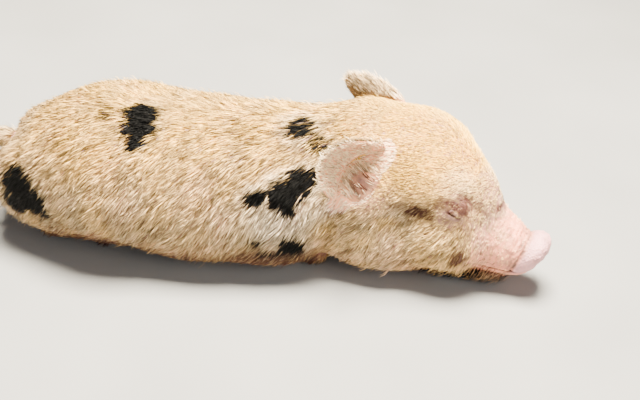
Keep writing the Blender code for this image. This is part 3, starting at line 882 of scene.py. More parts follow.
def mark_skin(obj, shapes, bowls):
    """Gives the skin's points their shares of each colour, paints shade into its slits and hollows, and
    marks its bare places.
    """
    points = get_points(obj.data)
    normals = vertex_normals(obj.data)
    gold, brown, pale, pink = shaded(points)
    free, facing, _ = on_ears(points, normals, shapes, bowls)
    local = into_head(points)
    front, round_disc = from_disc(local), at_disc(local)
    cup = np.maximum(np.where(free, step_up(facing, -0.05, 0.35), 0), in_bowl(local))
    # Painted shade in the slit between the lids, in each ear canal, in the nostrils and along the mouth
    # line
    slit = np.zeros(len(points))
    # Painted shade in and beside the grooves behind the disc
    for at, dark, wide in GROOVE_PAINTED_SHADES:
        ring = np.exp(-(((front - at) / wide) ** 2)) * round_disc
        brown = np.maximum(brown, dark * ring * (0.8 + 0.4 * ripple(points, 3, 35)))
    for side in SIDES.values():
        near = from_eye(local, side) < 20
        away, where = along_line(local[near], eye_curve(side))
        dots = np.maximum(step_up(where, 0.7, 0.95), step_up(1 - where, 0.7, 0.95))
        slit[near] = np.exp(-((away / (1.2 + 0.7 * dots)) ** 2))
        # Painted shade in the bowl of each ear
        inner = Egg(mirrored(EAR_HOLLOW, side), (11, 9, 14)).distance(local)
        brown = np.maximum(brown, 0.35 * (1 - step_up(inner, -3, 2)))
        # Painted shade deep in the ear canal
        canal = egg_reach(local, mirrored(CANAL_FLOOR, side), (6.5, 8, 6.5))
        slit = np.maximum(slit, 0.92 * (1 - step_up(canal + 0.1 * ripple(points, 4, 39), 0.6, 1.1)))
    # Painted shade in the nostrils
    for cup_shape, _ in nostrils():
        slit = np.maximum(slit, 1 - step_up(cup_shape.distance(points), -0.4, 0.9))
    # Painted shade along the mouth line
    mouth = np.exp(-((from_lips(local) / 0.8) ** 2)) * step_up(local[:, 0], 82, 88)
    mouth *= 1 - step_up(local[:, 0], 122, 126)
    mesh = obj.data
    set_values(mesh, "black", spotted(points, 1.10, 0.5) * (1 - cup))
    set_values(mesh, "gold", gold)
    set_values(mesh, "brown", brown)
    set_values(mesh, "pale", pale)
    set_values(mesh, "pink", np.maximum(pink, cup))
    set_values(mesh, "cup", cup)
    # The line share carries that painted shade
    set_values(mesh, "line", np.clip(slit + 0.85 * mouth, 0, 1))
    set_values(mesh, "disc", step_up(front, -1.8, 0.4) * round_disc)


# The coat
def hair_ways(points, normals, free, ear_ways):
    """The lie of the coat: back and down, from the snout to the tail, and out to the ears' tips."""
    turn, _ = head_turn()
    local = into_head(points)
    flank = np.abs(normals[:, 1])
    body = np.stack([
        np.full(len(points), -1.0),
        points[:, 1] / (np.abs(points[:, 1]) + 14) * np.maximum(normals[:, 2], 0),
        -1.30 * flank,
    ], axis=1)
    cheek = 1 - step_up(local[:, 2], 52, 82)
    head_way = np.stack([
        np.full(len(points), -1.0),
        0.7 * local[:, 1] / (np.abs(local[:, 1]) + 12) * np.maximum(normals[:, 2], 0),
        -0.15 - 1.25 * cheek * flank,
    ], axis=1) @ turn.T
    share = step_up(local[:, 0], -4, 26)[:, None]
    ways = body * (1 - share) + head_way * share
    ways[free] = ear_ways[free]
    line = np.array(smooth_line(tail_line(), 24))
    for index in np.flatnonzero(tail_share(points)):
        near = int(np.argmin(np.linalg.norm(line - points[index], axis=1)))
        near = min(near, len(line) - 2)
        ways[index] = line[near + 1] - line[near]
    return ways


def flat_on(ways, normals):
    """Ways turned into the surface and made one long."""
    ways = ways - normals * (ways * normals).sum(axis=1)[:, None]
    return ways / np.maximum(np.linalg.norm(ways, axis=1), 1e-6)[:, None]


def turned(ways, normals, angles):
    """Ways swung by these angles, in the surface."""
    side = np.cross(normals, ways)
    return ways * np.cos(angles)[:, None] + side * np.sin(angles)[:, None]


def scattered(mesh, count, draw, wanted):
    """Random places on a mesh, as many in each face as its size and the wanted thickness give."""
    mesh.calc_loop_triangles()
    corners = np.empty(len(mesh.loop_triangles) * 3, np.int32)
    mesh.loop_triangles.foreach_get("vertices", corners)
    corners = corners.reshape(-1, 3)
    points = get_points(mesh)
    normals = vertex_normals(mesh)
    a, b, c = (points[corners[:, index]] for index in range(3))
    area = np.linalg.norm(np.cross(b - a, c - a), axis=1) / 2
    weight = area * wanted((a + b + c) / 3, normals[corners].mean(axis=1))
    picks = draw.choice(len(corners), size=count, p=weight / weight.sum())
    first = np.sqrt(draw.random(count))
    second = draw.random(count)
    shares = np.stack([1 - first, first * (1 - second), first * second], axis=1)
    roots = (points[corners[picks]] * shares[:, :, None]).sum(axis=1)
    ups = (normals[corners[picks]] * shares[:, :, None]).sum(axis=1)
    return roots, ups / np.linalg.norm(ups, axis=1)[:, None]


# One tuft: its faces, its points' places in its patch of the map, and how far along it they are
TUFT_FACES = np.array([
    (0, 2, 1), (0, 1, 4), (0, 4, 3), (1, 2, 5), (1, 5, 4),
    (2, 0, 3), (2, 3, 5), (3, 4, 6), (4, 5, 6), (5, 3, 6),
])
TUFT_PATCH = np.array([(0.1, 0), (0.9, 0), (0.5, 0.2), (0.25, 0.5), (0.75, 0.5), (0.5, 0.6), (0.5, 1)])
TUFT_REACH = (0, 0, 0, 0.5, 0.5, 0.5, 1)
TUFT_POINTS = len(TUFT_REACH)
PATCH_SIZE = 0.003
ROOT_DEPTH = 0.3
FLOOR_GAP = 0.12
CLUMP_TUFTS = 4
LASHES = 14
COLOUR_SHARES = ("black", "gold", "brown", "pale", "pink", "tone")

# The coat's map unrolls it from a round bar of this height and radius along the body
WRAP_HEIGHT = 50
WRAP_RADIUS = 60

# The coat's pieces: where the head's and the face's begin, and the trunk's from rump to neck
HEAD_COAT = 18
FACE_COAT = 56
TRUNK_COATS = (
    ("rump", -400, -128),
    ("loin", -128, -84),
    ("flank", -84, -40),
    ("shoulder", -40, 4),
    ("neck", 4, 400),
)


def coat_lengths(points, free):
    """How long the hair is at each point, in millimetres: long on the flank, short on face and legs."""
    local = into_head(points)
    on_head = step_up(local[:, 0], -4, 34)
    long = 8.6 - 2.0 * on_head
    long += (3.2 - long) * on_head * step_up(local[:, 2], 58, 82)
    long += (2.2 - long) * step_up(local[:, 0], 80, 98)
    long += (2.0 - long) * eye_nearness(local)
    long += (3.6 - long) * in_bowl(local)
    before_ear = on_both_sides(local, *BEFORE_EAR)
    long += (2.4 - long) * before_ear * np.where(free, 0, 1)
    leg = (1 - step_up(points[:, 2], 6, 30)) * (1 - on_head)
    long += (5.0 - long) * leg
    long[free] = 5.4
    long[tail_share(points) > 0] = 3.6
    return long


def eye_nearness(local):
    """1 on the lids, running out to 0 some way around the eye."""
    near = np.zeros(len(local))
    above = 0.35 + 0.65 * step_up(local[:, 2], 52, 60)
    for side in SIDES.values():
        near = np.maximum(near, (1 - step_up(from_eye(local, side), 10.5, 17)) * above)
    return near


def in_bowl(local):
    """1 in the bowl of either ear, 0 outside it."""
    inside = on_both_sides(local, *EAR_BOWL)
    for side in SIDES.values():
        root, _, wide, facing = ear_frame(side)
        half = 0.42 * EAR_WIDTH
        away, _ = along_line(local, (root - wide * half, root + wide * half))
        before = step_up((local - root) @ facing, -3, -1)
        inside = np.maximum(inside, (1 - step_up(away, 8.0, 11.0)) * before)
    return inside


def chin_share(local):
    """1 where the chin carries bristles, 0 elsewhere."""
    share = (1 - step_up(local[:, 2], 14, 21)) * step_up(local[:, 0], 60, 78)
    return share * (1 - step_up(local[:, 0], 112, 119))


def tail_share(points):
    """1 on the tail, 0 elsewhere."""
    away = np.full(len(points), 1e9)
    for spot in smooth_line(tail_line(), 40):
        away = np.minimum(away, np.linalg.norm(points - spot, axis=1))
    clear = (points[:, 0] < RUMP_X + 8) & (away < 5.4)
    return np.where(clear, 1.0, 0.0)


def tuft_share(points, normals, shapes, bowls):
    """How thickly the tufts stand at each point; none on the disc or where the body lies on the floor."""
    local = into_head(points)
    free, facing, _ = on_ears(points, normals, shapes, bowls)
    on_head = step_up(local[:, 0], -4, 30)
    share = 1 + 0.25 * on_head + 1.3 * on_head * step_up(local[:, 2], 56, 80)
    share *= 1 - 0.35 * step_up(local[:, 0], 94, 110) * step_up(local[:, 2], 12, 20)
    share *= 1 + 0.8 * eye_nearness(local)
    share *= 1 - 0.72 * in_bowl(local)
    for side in SIDES.values():
        canal = egg_reach(local, mirrored(CANAL_RIM, side), (8.5, 11, 8.5))
        share *= 0.03 + 0.97 * step_up(canal, 0.8, 1.1)
    share[free] = 2.4
    share[free & (facing > 0.1)] = 0.9
    share[np.linalg.norm(points - np.array(TAIL_FRINGE), axis=1) < 11] = 2.0
    share[tail_share(points) > 0] = 2.2
    share *= 1 - 0.75 * step_up(-normals[:, 2], 0.2, 0.7)
    share[(points[:, 2] < 6) & (normals[:, 2] < -0.35)] = 0.03
    front, round_disc = from_disc(local), at_disc(local)
    share *= 1 - 0.75 * step_up(front, -11, -6) * round_disc
    share[(front > -1.5) & (round_disc > 0.3)] = 0
    share *= 1 + chin_share(local)
    for side in SIDES.values():
        near = from_eye(local, side) < 16
        if near.any():
            away, _ = along_line(local[near], eye_curve(side))
            share[near] *= 0.04 + 0.96 * step_up(away, 1.1, 3.2)
    return share


def clumped(roots, ups):
    """The tuft that leads each one's clump, and the way that its tip leans towards it."""
    leads = KDTree(len(roots) // CLUMP_TUFTS + 1)
    for index in range(0, len(roots), CLUMP_TUFTS):
        leads.insert(roots[index], index)
    leads.balance()
    closest = np.array([leads.find(root)[1] for root in roots])
    pull = roots[closest] - roots
    pull -= ups * (pull * ups).sum(axis=1)[:, None]
    pull *= np.minimum(1, 2.2 / np.maximum(np.linalg.norm(pull, axis=1), 1e-6))[:, None] * 0.3
    return closest, pull


def tuft_colours(roots, shown, regions, closest, draw):
    """Each tuft's shares of the colours, taken where most of it shows, and its tone; both hold some painted
    highlight and shade.
    """
    free, cupped, behind, rim, chin = (regions[key] for key in ("free", "cupped", "behind", "rim", "chin"))
    local = into_head(roots)
    count = len(roots)
    on_head = step_up(local[:, 0], -4, 30)
    crown = on_head * step_up(local[:, 2], 58, 80)
    temple = on_both_sides(local, *TEMPLE_SHADE)
    painted_brow_highlight = on_both_sides(local, *BROW_HIGHLIGHT)
    gold, brown, pale, pink = shaded(shown)
    black = spotted(shown, 1.05, 0.6)
    black[cupped] = 0
    pink[cupped] = 0.2
    brown[cupped] *= 0.4
    # Painted shade on the hairs at the mouth of each ear canal
    for side in SIDES.values():
        canal = np.linalg.norm((shown - in_head(mirrored(CANAL_MOUTH, side))) / 8.0, axis=1)
        brown = np.maximum(brown, 1 - step_up(canal, 0.75, 1.15))
    gold[cupped] *= 0.5
    # Painted shade on the backs of the ears: less gold and greyer
    gold[behind] *= 0.35
    pale[behind] = np.maximum(pale[behind], 0.3)
    pale[cupped] = 0.5
    black = np.clip((1.15 * black - draw.random(count)) * 4 + 0.5, 0, 1)
    black[chin] = np.maximum(black[chin], draw.random(int(chin.sum())) < 0.75)
    brown *= np.where(draw.random(count) < 0.2 - 0.15 * eye_nearness(local), 0.3, 1)
    fleck = (draw.random(count) < 0.10 * crown + 0.16 * temple) | (draw.random(count) < 0.03)
    brown = np.maximum(brown, np.where(fleck, 0.55, 0))
    streak = draw.normal(size=count)[closest]
    tone = 0.5 + 0.08 * ripple(roots, 15, 44) + (0.34 - 0.16 * crown) * streak
    tone += 0.20 * draw.normal(size=count)
    tone += 0.06 * on_head
    tone[free | cupped] += 0.2
    # Painted shade on the backs of the ears
    tone[behind] -= 0.48
    # Painted highlight along the ears' backlit rims, and lighter hair in the cups
    tone[cupped | rim] += 0.35
    # Painted highlight on the crown and brows, in tone and paler hair, and painted shade at the temples
    tone += 0.18 * crown + 0.2 * painted_brow_highlight - 0.18 * temple
    pale = np.maximum(pale, 0.3 * painted_brow_highlight)
    tone = np.clip(tone, 0, 1)
    return {"black": black, "gold": gold, "brown": brown, "pale": pale, "pink": pink, "tone": tone}


def grow_coat(skin, shapes, bowls):
    """Root, lie, length, width and colours of every tuft."""
    draw = np.random.default_rng(SEED)
    roots, ups = scattered(skin.data, COAT_TUFTS, draw, lambda p, n: tuft_share(p, n, shapes, bowls))
    free, facing, ear_ways = on_ears(roots, ups, shapes, bowls)
    local = into_head(roots)
    count = len(roots)
    ways = flat_on(hair_ways(roots, ups, free, ear_ways), ups)
    angles = 0.17 * ripple(roots, 26, 41) + 0.11 * ripple(roots, 7, 42) + 0.11 * draw.normal(size=count)
    ways = turned(ways, ups, angles)
    long = coat_lengths(roots, free) * np.clip(1 + 0.20 * draw.normal(size=count), 0.5, 1.6)
    crown = step_up(local[:, 0], -4, 30) * step_up(local[:, 2], 58, 80)
    cupped = (in_bowl(local) > 0.3) | (free & (facing > 0.1))
    rim = free & (np.abs(facing) < 0.4)
    wide = (0.44 - 0.13 * crown) * np.clip(1 + 0.25 * draw.normal(size=count), 0.5, 1.7)
    wide[free] *= 0.9
    wide *= 1 - 0.5 * eye_nearness(local)
    wide[cupped] = 0.5
    wide *= 1 - 0.55 * step_up(local[:, 0], 84, 104) * (1 - 0.7 * step_up(local[:, 2], 56, 68))
    lift = 0.07 + 0.13 * draw.random(count) ** 2 + 0.12 * crown
    lift[rim] += 0.15
    loose = draw.random(count) < 0.03
    lift[loose] += 0.22
    long[loose] *= 1.15
    chin = (chin_share(local) * 1.2 > draw.random(count)) & (roots[:, 2] > 2)
    lift[chin] = 0.25 + 0.5 * draw.random(int(chin.sum()))
    long[chin] = 5.5 + 3.0 * draw.random(int(chin.sum()))
    closest, pull = clumped(roots, ups)
    shown = roots + ways * (0.45 * long)[:, None]
    # behind marks the backs of the ears, which get painted shade
    regions = {"free": free, "cupped": cupped, "behind": free & (facing < -0.6), "rim": rim, "chin": chin}
    colours = tuft_colours(roots, shown, regions, closest, draw)
    tips = roots + ways * long[:, None]
    keep = long > 0.6
    for side in SIDES.values():
        middle = in_head(mirrored(CANAL_MOUTH, side))
        canal = np.linalg.norm(shown - middle, axis=1)
        canal = np.minimum(canal, np.linalg.norm(tips - middle, axis=1))
        keep &= (canal > 7.5) | (draw.random(count) < 0.12)
    coat = {
        "roots": roots, "ups": ups, "ways": ways, "pull": pull,
        "long": long, "wide": wide, "lift": lift, "free": free, **colours,
    }
    return {key: value[keep] for key, value in coat.items()}


def add_lashes(coat, draw):
    """Short dark lashes along both lids, appended to the coat."""
    turn, _ = head_turn()
    made = {key: [] for key in coat}
    for side in SIDES.values():
        centre = in_head(mirrored(EYE_CENTRE, side))
        for spot in smooth_line(eye_curve(side, reach=LID_RADIUS - 0.9), LASHES):
            root = in_head(spot)
            up = (root - centre) / np.linalg.norm(root - centre)
            way = turn @ np.array((-0.2 + 0.5 * draw.random(), side * 0.35, -0.9))
            values = {
                "roots": root, "ups": up, "ways": way, "pull": np.zeros(3),
                "long": 1.7 + 0.9 * draw.random(), "wide": 0.16, "lift": 0.3, "free": False,
                "black": 0.5, "gold": 0.0, "brown": 1.0, "pale": 0.0, "pink": 0.0, "tone": 0.5,
            }
            for key, value in values.items():
                made[key].append(value)
    made["ways"] = flat_on(np.array(made["ways"]), np.array(made["ups"]))
    return {key: np.concatenate([coat[key], np.array(made[key])]) for key in coat}


def tufts(name, coat, chosen):
    """One mesh of thin closed locks, each with its root in the skin and its tip laid back."""
    part = {key: value[chosen] for key, value in coat.items()}
    roots, ups, ways, pull = part["roots"], part["ups"], part["ways"], part["pull"]
    sides = np.cross(ups, ways)
    long, wide, lift = (part[key][:, None] for key in ("long", "wide", "lift"))
    base = roots - ups * ROOT_DEPTH
    middle = roots + ways * long * 0.5 + ups * lift * long * 0.72 + pull * 0.45
    tip = roots + ways * long + ups * lift * long * 0.9 + pull
    rings = [
        base - sides * wide / 2, base + sides * wide / 2, base + ups * wide * 0.35,
        middle - sides * wide * 0.42, middle + sides * wide * 0.42, middle + ups * wide * 0.3, tip,
    ]
    points = np.stack(rings, axis=1)
    points[:, :, 2] = np.maximum(points[:, :, 2], FLOOR_GAP)
    count = len(roots)
    corners = (TUFT_FACES[None] + TUFT_POINTS * np.arange(count)[:, None, None]).reshape(-1)
    mesh = bpy.data.meshes.new(name)
    mesh.vertices.add(count * TUFT_POINTS)
    mesh.vertices.foreach_set("co", (points.reshape(-1, 3) * MM).astype(np.float32).ravel())
    mesh.loops.add(len(corners))
    mesh.loops.foreach_set("vertex_index", corners.astype(np.int32))
    mesh.polygons.add(len(corners) // 3)
    mesh.polygons.foreach_set("loop_start", np.arange(0, len(corners), 3, dtype=np.int32))
    mesh.update(calc_edges=True)
    for key in COLOUR_SHARES:
        set_values(mesh, key, np.repeat(part[key], TUFT_POINTS))
    set_values(mesh, "reach", np.tile(TUFT_REACH, count))
    around = np.arctan2(roots[:, 2] - WRAP_HEIGHT, roots[:, 1])
    flat = np.stack([roots[:, 0], around * WRAP_RADIUS], axis=1)
    low, high = flat.min(axis=0), flat.max(axis=0)
    spots = 0.005 + 0.985 * (flat - low) / np.maximum(high - low, 1e-6)
    patches = (spots[:, None, :] + TUFT_PATCH[None] * PATCH_SIZE).reshape(-1, 2)
    mesh.uv_layers.new(name="OFBake").data.foreach_set("uv", patches[corners].astype(np.float32).ravel())
    mesh.shade_smooth()
    obj = bpy.data.objects.new(name, mesh)
    bpy.context.scene.collection.objects.link(obj)
    return obj


def coat_pieces(coat):
    """The coat as meshes small enough to handle, one for each stretch of the body."""
    local = into_head(coat["roots"])
    x, y = coat["roots"][:, 0], coat["roots"][:, 1]
    on_ear, on_tail = coat["free"], tail_share(coat["roots"]) > 0
    made = []
    for word, side in SIDES.items():
        made.append(tufts("coat_ear_" + word, coat, on_ear & (local[:, 1] * side >= 0)))
        on_head = ~on_ear & (local[:, 0] > HEAD_COAT) & (local[:, 1] * side > 0)
        on_face = on_head & (local[:, 0] > FACE_COAT)
        made.append(tufts("coat_face_" + word, coat, on_face))
        made.append(tufts("coat_cheek_" + word, coat, on_head & ~on_face))
        on_trunk = ~on_ear & ~on_tail & (local[:, 0] <= HEAD_COAT) & (y * side > 0)
        for name, low, high in TRUNK_COATS:
            made.append(tufts(f"coat_{name}_{word}", coat, on_trunk & (x > low) & (x <= high)))
    made.append(tufts("coat_tail", coat, on_tail))
    return made


# Finishes
class Finish:
    """A surface finish: a shader with a few nodes that feed it."""

    def __init__(self, name, roughness=0.5, specular=0.5):
        self.material = bpy.data.materials.new(name)
        self.material.use_nodes = True
        self.tree = self.material.node_tree
        self.shader = self.tree.nodes["Principled BSDF"]
        self.shader.inputs["Roughness"].default_value = roughness
        self.shader.inputs["Specular IOR Level"].default_value = specular

    def node(self, kind, settings=None, **inputs):
        """A new node with these settings and with these values or links on its inputs."""
        made = self.tree.nodes.new(kind)
        for key, value in (settings or {}).items():
            setattr(made, key, value)
        for key, value in inputs.items():
            self.feed(made.inputs[key.replace("_", " ")], value)
        return made

    def feed(self, socket, value):
        """Links another node's output to an input, or sets the input's own value."""
        if isinstance(value, bpy.types.NodeSocket):
            self.tree.links.new(value, socket)
        elif isinstance(value, tuple) and len(value) == 3 and socket.type == "RGBA":
            socket.default_value = (*value, 1)
        else:
            socket.default_value = value

    def share(self, name):
        """A value that the mesh carries at each point."""
        return self.node("ShaderNodeAttribute", {"attribute_name": name}).outputs["Fac"]

    def place(self, scale=(1, 1, 1)):
        """Where each point is on the piece, stretched by this scale."""
        where = self.node("ShaderNodeTexCoord").outputs["Object"]
        return self.node("ShaderNodeMapping", Vector=where, Scale=scale).outputs["Vector"]

    def noise(self, scale, detail=3.0, stretch=(1, 1, 1)):
        """A cloudy pattern with this many clouds to the metre."""
        made = self.node("ShaderNodeTexNoise", Vector=self.place(stretch), Scale=scale, Detail=detail)
        return made.outputs["Fac"]

    def cells(self, scale):
        """A pattern of small cells, with this many to the metre."""
        made = self.node("ShaderNodeTexVoronoi", Vector=self.place(), Scale=scale)
        return made.outputs["Distance"]

    def ranged(self, value, low, high, first=0.0, last=1.0):
        """A value from low to high, stretched to run from first to last."""
        made = self.node("ShaderNodeMapRange", Value=value)
        for key, number in (("From Min", low), ("From Max", high), ("To Min", first), ("To Max", last)):
            made.inputs[key].default_value = number
        return made.outputs["Result"]

    def times(self, first, second):
        """One value times another."""
        made = self.node("ShaderNodeMath", {"operation": "MULTIPLY"})
        self.feed(made.inputs[0], first)
        self.feed(made.inputs[1], second)
        return made.outputs["Value"]

    def mixed(self, share, first, second, blend="MIX"):
        """The first colour with this share of the second."""
        made = self.node("ShaderNodeMix", {"data_type": "RGBA", "blend_type": blend})
        self.feed(made.inputs["Factor"], share)
        self.feed(made.inputs[6], first)
        self.feed(made.inputs[7], second)
        return made.outputs[2]

    def bump(self, height, strength, distance, after=None):
        """Fine relief from a pattern, on top of the relief made before it."""
        made = self.node("ShaderNodeBump", Strength=strength, Distance=distance, Height=height)
        if after is not None:
            self.feed(made.inputs["Normal"], after)
        return made.outputs["Normal"]

    def colour(self, value):
        """Gives the surface its colour."""
        self.feed(self.shader.inputs["Base Color"], value)


# Colours of hair, skin, eyes, claws and floor
CREAM_ROOT_AND_SHADE = (0.17, 0.085, 0.042)
CREAM_TIP = (1.0, 0.74, 0.40)
PINK_ROOT = (0.85, 0.36, 0.20)
GOLD_HAIR = (1.0, 0.58, 0.07)
PALE_HAIR = (0.93, 0.83, 0.66)
BROWN_AND_SHADE_HAIR = (0.075, 0.030, 0.022)
BLACK_HAIR = (0.003, 0.003, 0.003)
PINK_HAIR = (1.0, 0.50, 0.33)
PINK_SKIN = (0.62, 0.36, 0.28)
RED_SKIN = (0.55, 0.24, 0.19)
MUZZLE_SKIN = (0.86, 0.30, 0.18)
DISC_SKIN = (0.66, 0.33, 0.33)
DISC_DEEP = (0.52, 0.24, 0.27)
CUP_SKIN = (1.0, 0.47, 0.25)
TAN_SKIN = (0.50, 0.29, 0.16)
BLACK_SKIN = (0.010, 0.009, 0.010)
BROWN_AND_SHADE_SKIN = (0.13, 0.055, 0.04)
PAINTED_HOLLOW_SHADE = (0.05, 0.015, 0.012)
EYE_DARK = (0.012, 0.008, 0.007)
EYE_BROWN = (0.03, 0.016, 0.012)
HORN_PALE = (0.46, 0.33, 0.24)
HORN_LINE = (0.22, 0.14, 0.10)
HORN_DARK = (0.10, 0.07, 0.06)
PAPER_DEEP = (0.21, 0.21, 0.207)
PAPER_LIGHT = (0.24, 0.24, 0.237)


def hair_finish():
    """Cream bristle, darker at its root in colour and in painted shade, in gold, pale, brown and black
    shares.
    """
    made = Finish("hair", roughness=0.55, specular=0.07)
    # Darker at the root: partly the bristle's own colour, partly painted shade between the hairs
    root = made.mixed(made.share("pink"), CREAM_ROOT_AND_SHADE, PINK_ROOT)
    cream = made.mixed(made.ranged(made.share("reach"), 0.1, 0.85), root, CREAM_TIP)
    gold = made.mixed(made.times(made.share("gold"), 0.88), cream, GOLD_HAIR)
    pale = made.mixed(made.times(made.share("pale"), 0.9), gold, PALE_HAIR)
    flesh_pink = made.mixed(made.times(made.share("pink"), 0.28), pale, PINK_HAIR)
    # Tone: random streaks, with painted highlight and shade on the head and ears
    tone = made.ranged(made.share("tone"), 0, 1, 0.22, 1.40)
    grey = made.node("ShaderNodeCombineColor", Red=tone, Green=tone, Blue=tone).outputs[0]
    toned = made.mixed(1.0, flesh_pink, grey, "MULTIPLY")
    cloudy = made.mixed(made.ranged(made.noise(900), 0.4, 0.7, 0, 0.3), toned, CREAM_ROOT_AND_SHADE)
    # Brown hair, with painted shade under the trunk, on the forearms and at the ear canals
    brown = made.mixed(made.share("brown"), cloudy, BROWN_AND_SHADE_HAIR)
    made.colour(made.mixed(made.share("black"), brown, BLACK_HAIR))
    return made.material


def skin_finish():
    """Pink skin, mottled and finely wrinkled, dark under the spots, bare on the muzzle."""
    made = Finish("skin", roughness=0.5, specular=0.4)
    mottled = made.mixed(made.ranged(made.noise(120), 0.35, 0.65), PINK_SKIN, RED_SKIN)
    # Painted shade of the coat on the skin beneath it
    skin_in_coat_shade = made.mixed(0.45, mottled, CREAM_ROOT_AND_SHADE)
    bare = made.mixed(made.ranged(made.noise(260), 0.42, 0.72, 0, 0.4), MUZZLE_SKIN, RED_SKIN)
    bare = made.mixed(made.ranged(made.noise(95), 0.48, 0.66, 0, 0.55), bare, TAN_SKIN)
    skin = made.mixed(made.share("pink"), skin_in_coat_shade, bare)
    in_cup = made.share("cup")
    flushed = made.mixed(made.ranged(made.noise(170), 0.4, 0.7, 0, 0.35), CUP_SKIN, RED_SKIN)
    skin = made.mixed(in_cup, skin, flushed)
    disc = made.mixed(made.ranged(made.noise(420), 0.35, 0.7, 0, 0.6), DISC_SKIN, DISC_DEEP)
    skin = made.mixed(made.share("disc"), skin, disc)
    # Brown skin, with painted shade under the trunk, on the forearms, in the ears' bowls and canals and in
    # the grooves behind the disc
    skin = made.mixed(made.share("brown"), skin, BROWN_AND_SHADE_SKIN)
    skin = made.mixed(made.share("black"), skin, BLACK_SKIN)
    # Painted shade in the slits between the lids, the nostrils, the ear canals and the mouth line
    made.colour(made.mixed(made.share("line"), skin, PAINTED_HOLLOW_SHADE))
    grain = made.bump(made.noise(1500, 4), 0.35, 0.0004)
    folds = made.bump(made.noise(420, 3, (1.6, 0.8, 0.8)), 0.35, 0.0012, grain)
    pits = made.bump(made.cells(1100), made.times(made.share("disc"), 0.6), 0.0007, folds)
    made.feed(made.shader.inputs["Normal"], pits)
    made.feed(made.shader.inputs["Roughness"], made.ranged(made.noise(700), 0.3, 0.7, 0.42, 0.60))
    made.shader.inputs["Subsurface Weight"].default_value = 0.12
    made.shader.inputs["Subsurface Scale"].default_value = 0.003
    return made.material


def eye_finish():
    """Dark and wet, as it shows between the lids."""
    made = Finish("wet eye", roughness=0.08, specular=0.6)
    made.colour(made.mixed(made.ranged(made.noise(300), 0.4, 0.6), EYE_DARK, EYE_BROWN))
    made.shader.inputs["Coat Weight"].default_value = 0.6
    return made.material


def claw_finish():
    """Pale horn with faint darker growth lines across it."""
    made = Finish("claw horn", roughness=0.42, specular=0.45)
    lines = made.noise(500, 2, (2.4, 0.5, 0.5))
    horn = made.mixed(made.ranged(lines, 0.35, 0.65), HORN_PALE, HORN_LINE)
    made.colour(made.mixed(made.ranged(made.noise(90), 0.45, 0.7), horn, HORN_DARK))
    made.feed(made.shader.inputs["Normal"], made.bump(lines, 0.4, 0.0004))
    return made.material


# The lamps: place in metres from the middle of the animal, size, watts and colour
LAMPS = (
    ("key", (0.05, 0.0, 1.10), 0.45, 206.0, (1.0, 0.91, 0.74)),
    ("fill", (-0.4, -1.1, 0.7), 1.0, 5.0, (0.98, 0.98, 1.0)),
    ("nose", (0.9, -0.7, 0.7), 0.7, 12.0, (1.0, 0.94, 0.85)),
)
SKY_COLOUR = (0.88, 0.91, 0.95, 1)
SKY_STRENGTH = 0.18


def floor_and_light(middle):
    """A plain floor under the animal, and lamps that all face its middle."""
    bm = bmesh.new()
    bmesh.ops.create_grid(bm, x_segments=1, y_segments=1, size=6)
    floor = new_object("floor", bm)
    paper = Finish("floor paper", roughness=0.85, specular=0.2)
    paper.colour(paper.mixed(paper.ranged(paper.noise(8, 2), 0.3, 0.7), PAPER_DEEP, PAPER_LIGHT))
    floor.data.materials.append(paper.material)
    for name, place, size, power, colour in LAMPS:
        data = bpy.data.lights.new(name, "AREA")
        data.size = size
        data.energy = power
        data.color = colour
        lamp = bpy.data.objects.new(name, data)
        lamp.location = middle + Vector(place)
        lamp.rotation_mode = "QUATERNION"
        lamp.rotation_quaternion = (middle - lamp.location).to_track_quat("-Z", "Y")
        bpy.context.scene.collection.objects.link(lamp)
    world = bpy.data.worlds.new("studio")
    world.use_nodes = True
    world.node_tree.nodes["Background"].inputs["Color"].default_value = SKY_COLOUR
    world.node_tree.nodes["Background"].inputs["Strength"].default_value = SKY_STRENGTH
    bpy.context.scene.world = world


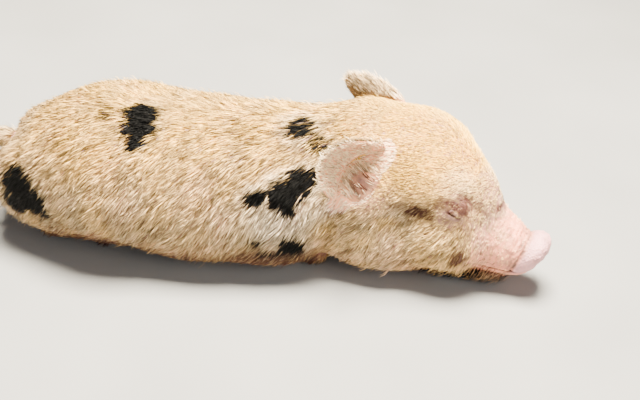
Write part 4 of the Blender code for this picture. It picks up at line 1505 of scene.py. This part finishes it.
# The camera: degrees, distance in millimetres, lens, and the place it faces on the animal
VIEW_TURN = 5.0
VIEW_RISE = 37.0
VIEW_ROLL = 1.5
VIEW_DISTANCE = 620.0
VIEW_LENS = 54.0
VIEW_TARGET = (32.0, 0.0, 31.0)


def add_camera():
    """Above the right flank, as in the photograph, with the rump just past the left edge."""
    turn, rise = math.radians(VIEW_TURN), math.radians(VIEW_RISE)
    back = Vector((math.sin(turn) * math.cos(rise), -math.cos(turn) * math.cos(rise), math.sin(rise)))
    data = bpy.data.cameras.new("camera")
    data.lens = VIEW_LENS
    data.sensor_width = 36
    data.clip_start = 0.01
    camera = bpy.data.objects.new("camera", data)
    camera.location = Vector(np.array(VIEW_TARGET) + SHIFT) * MM + back * VIEW_DISTANCE * MM
    camera.rotation_mode = "QUATERNION"
    roll = Matrix.Rotation(math.radians(VIEW_ROLL), 3, "Z").to_quaternion()
    camera.rotation_quaternion = (-back).to_track_quat("-Z", "Y") @ roll
    bpy.context.scene.collection.objects.link(camera)
    bpy.context.scene.camera = camera


# The whole animal
eye_low, eye_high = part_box("eye_right")
SHIFT = np.array((eye_low + eye_high) / 2) / MM - in_head(mirrored(EYE_CENTRE, RIGHT))
FLESH_NODES = (
    "torso", "neck", "head", "snout_disc", "ear_right", "ear_left", "tail",
    "foreleg_right", "foreleg_left", "hindleg_right", "hindleg_left",
)


def dress():
    """Skin and coat in place of the nodes of flesh, and finishes for the eyes and claws."""
    shapes, bowls = flesh(), hollows() + nostrils()
    skin = make_skin(shapes)
    mark_skin(skin, shapes, bowls)
    coat = add_lashes(grow_coat(skin, shapes, bowls), np.random.default_rng(SEED + 1))
    hair, hide = hair_finish(), skin_finish()
    skin.data.materials.append(hide)
    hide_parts(*FLESH_NODES)
    pieces = coat_pieces(coat)
    for piece in pieces:
        piece.data.materials.append(hair)
    for piece in [skin] + pieces:
        piece.data.transform(Matrix.Translation(Vector(SHIFT) * MM))
        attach(piece, "root")
    finishes = {"eye": eye_finish(), "claw": claw_finish()}
    for name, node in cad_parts.items():
        for word, finish in finishes.items():
            if name.startswith(word):
                for place in node.material_slots:
                    place.material = finish


dress()
floor_and_light(Vector((0, 0, 0.04)))
add_camera()
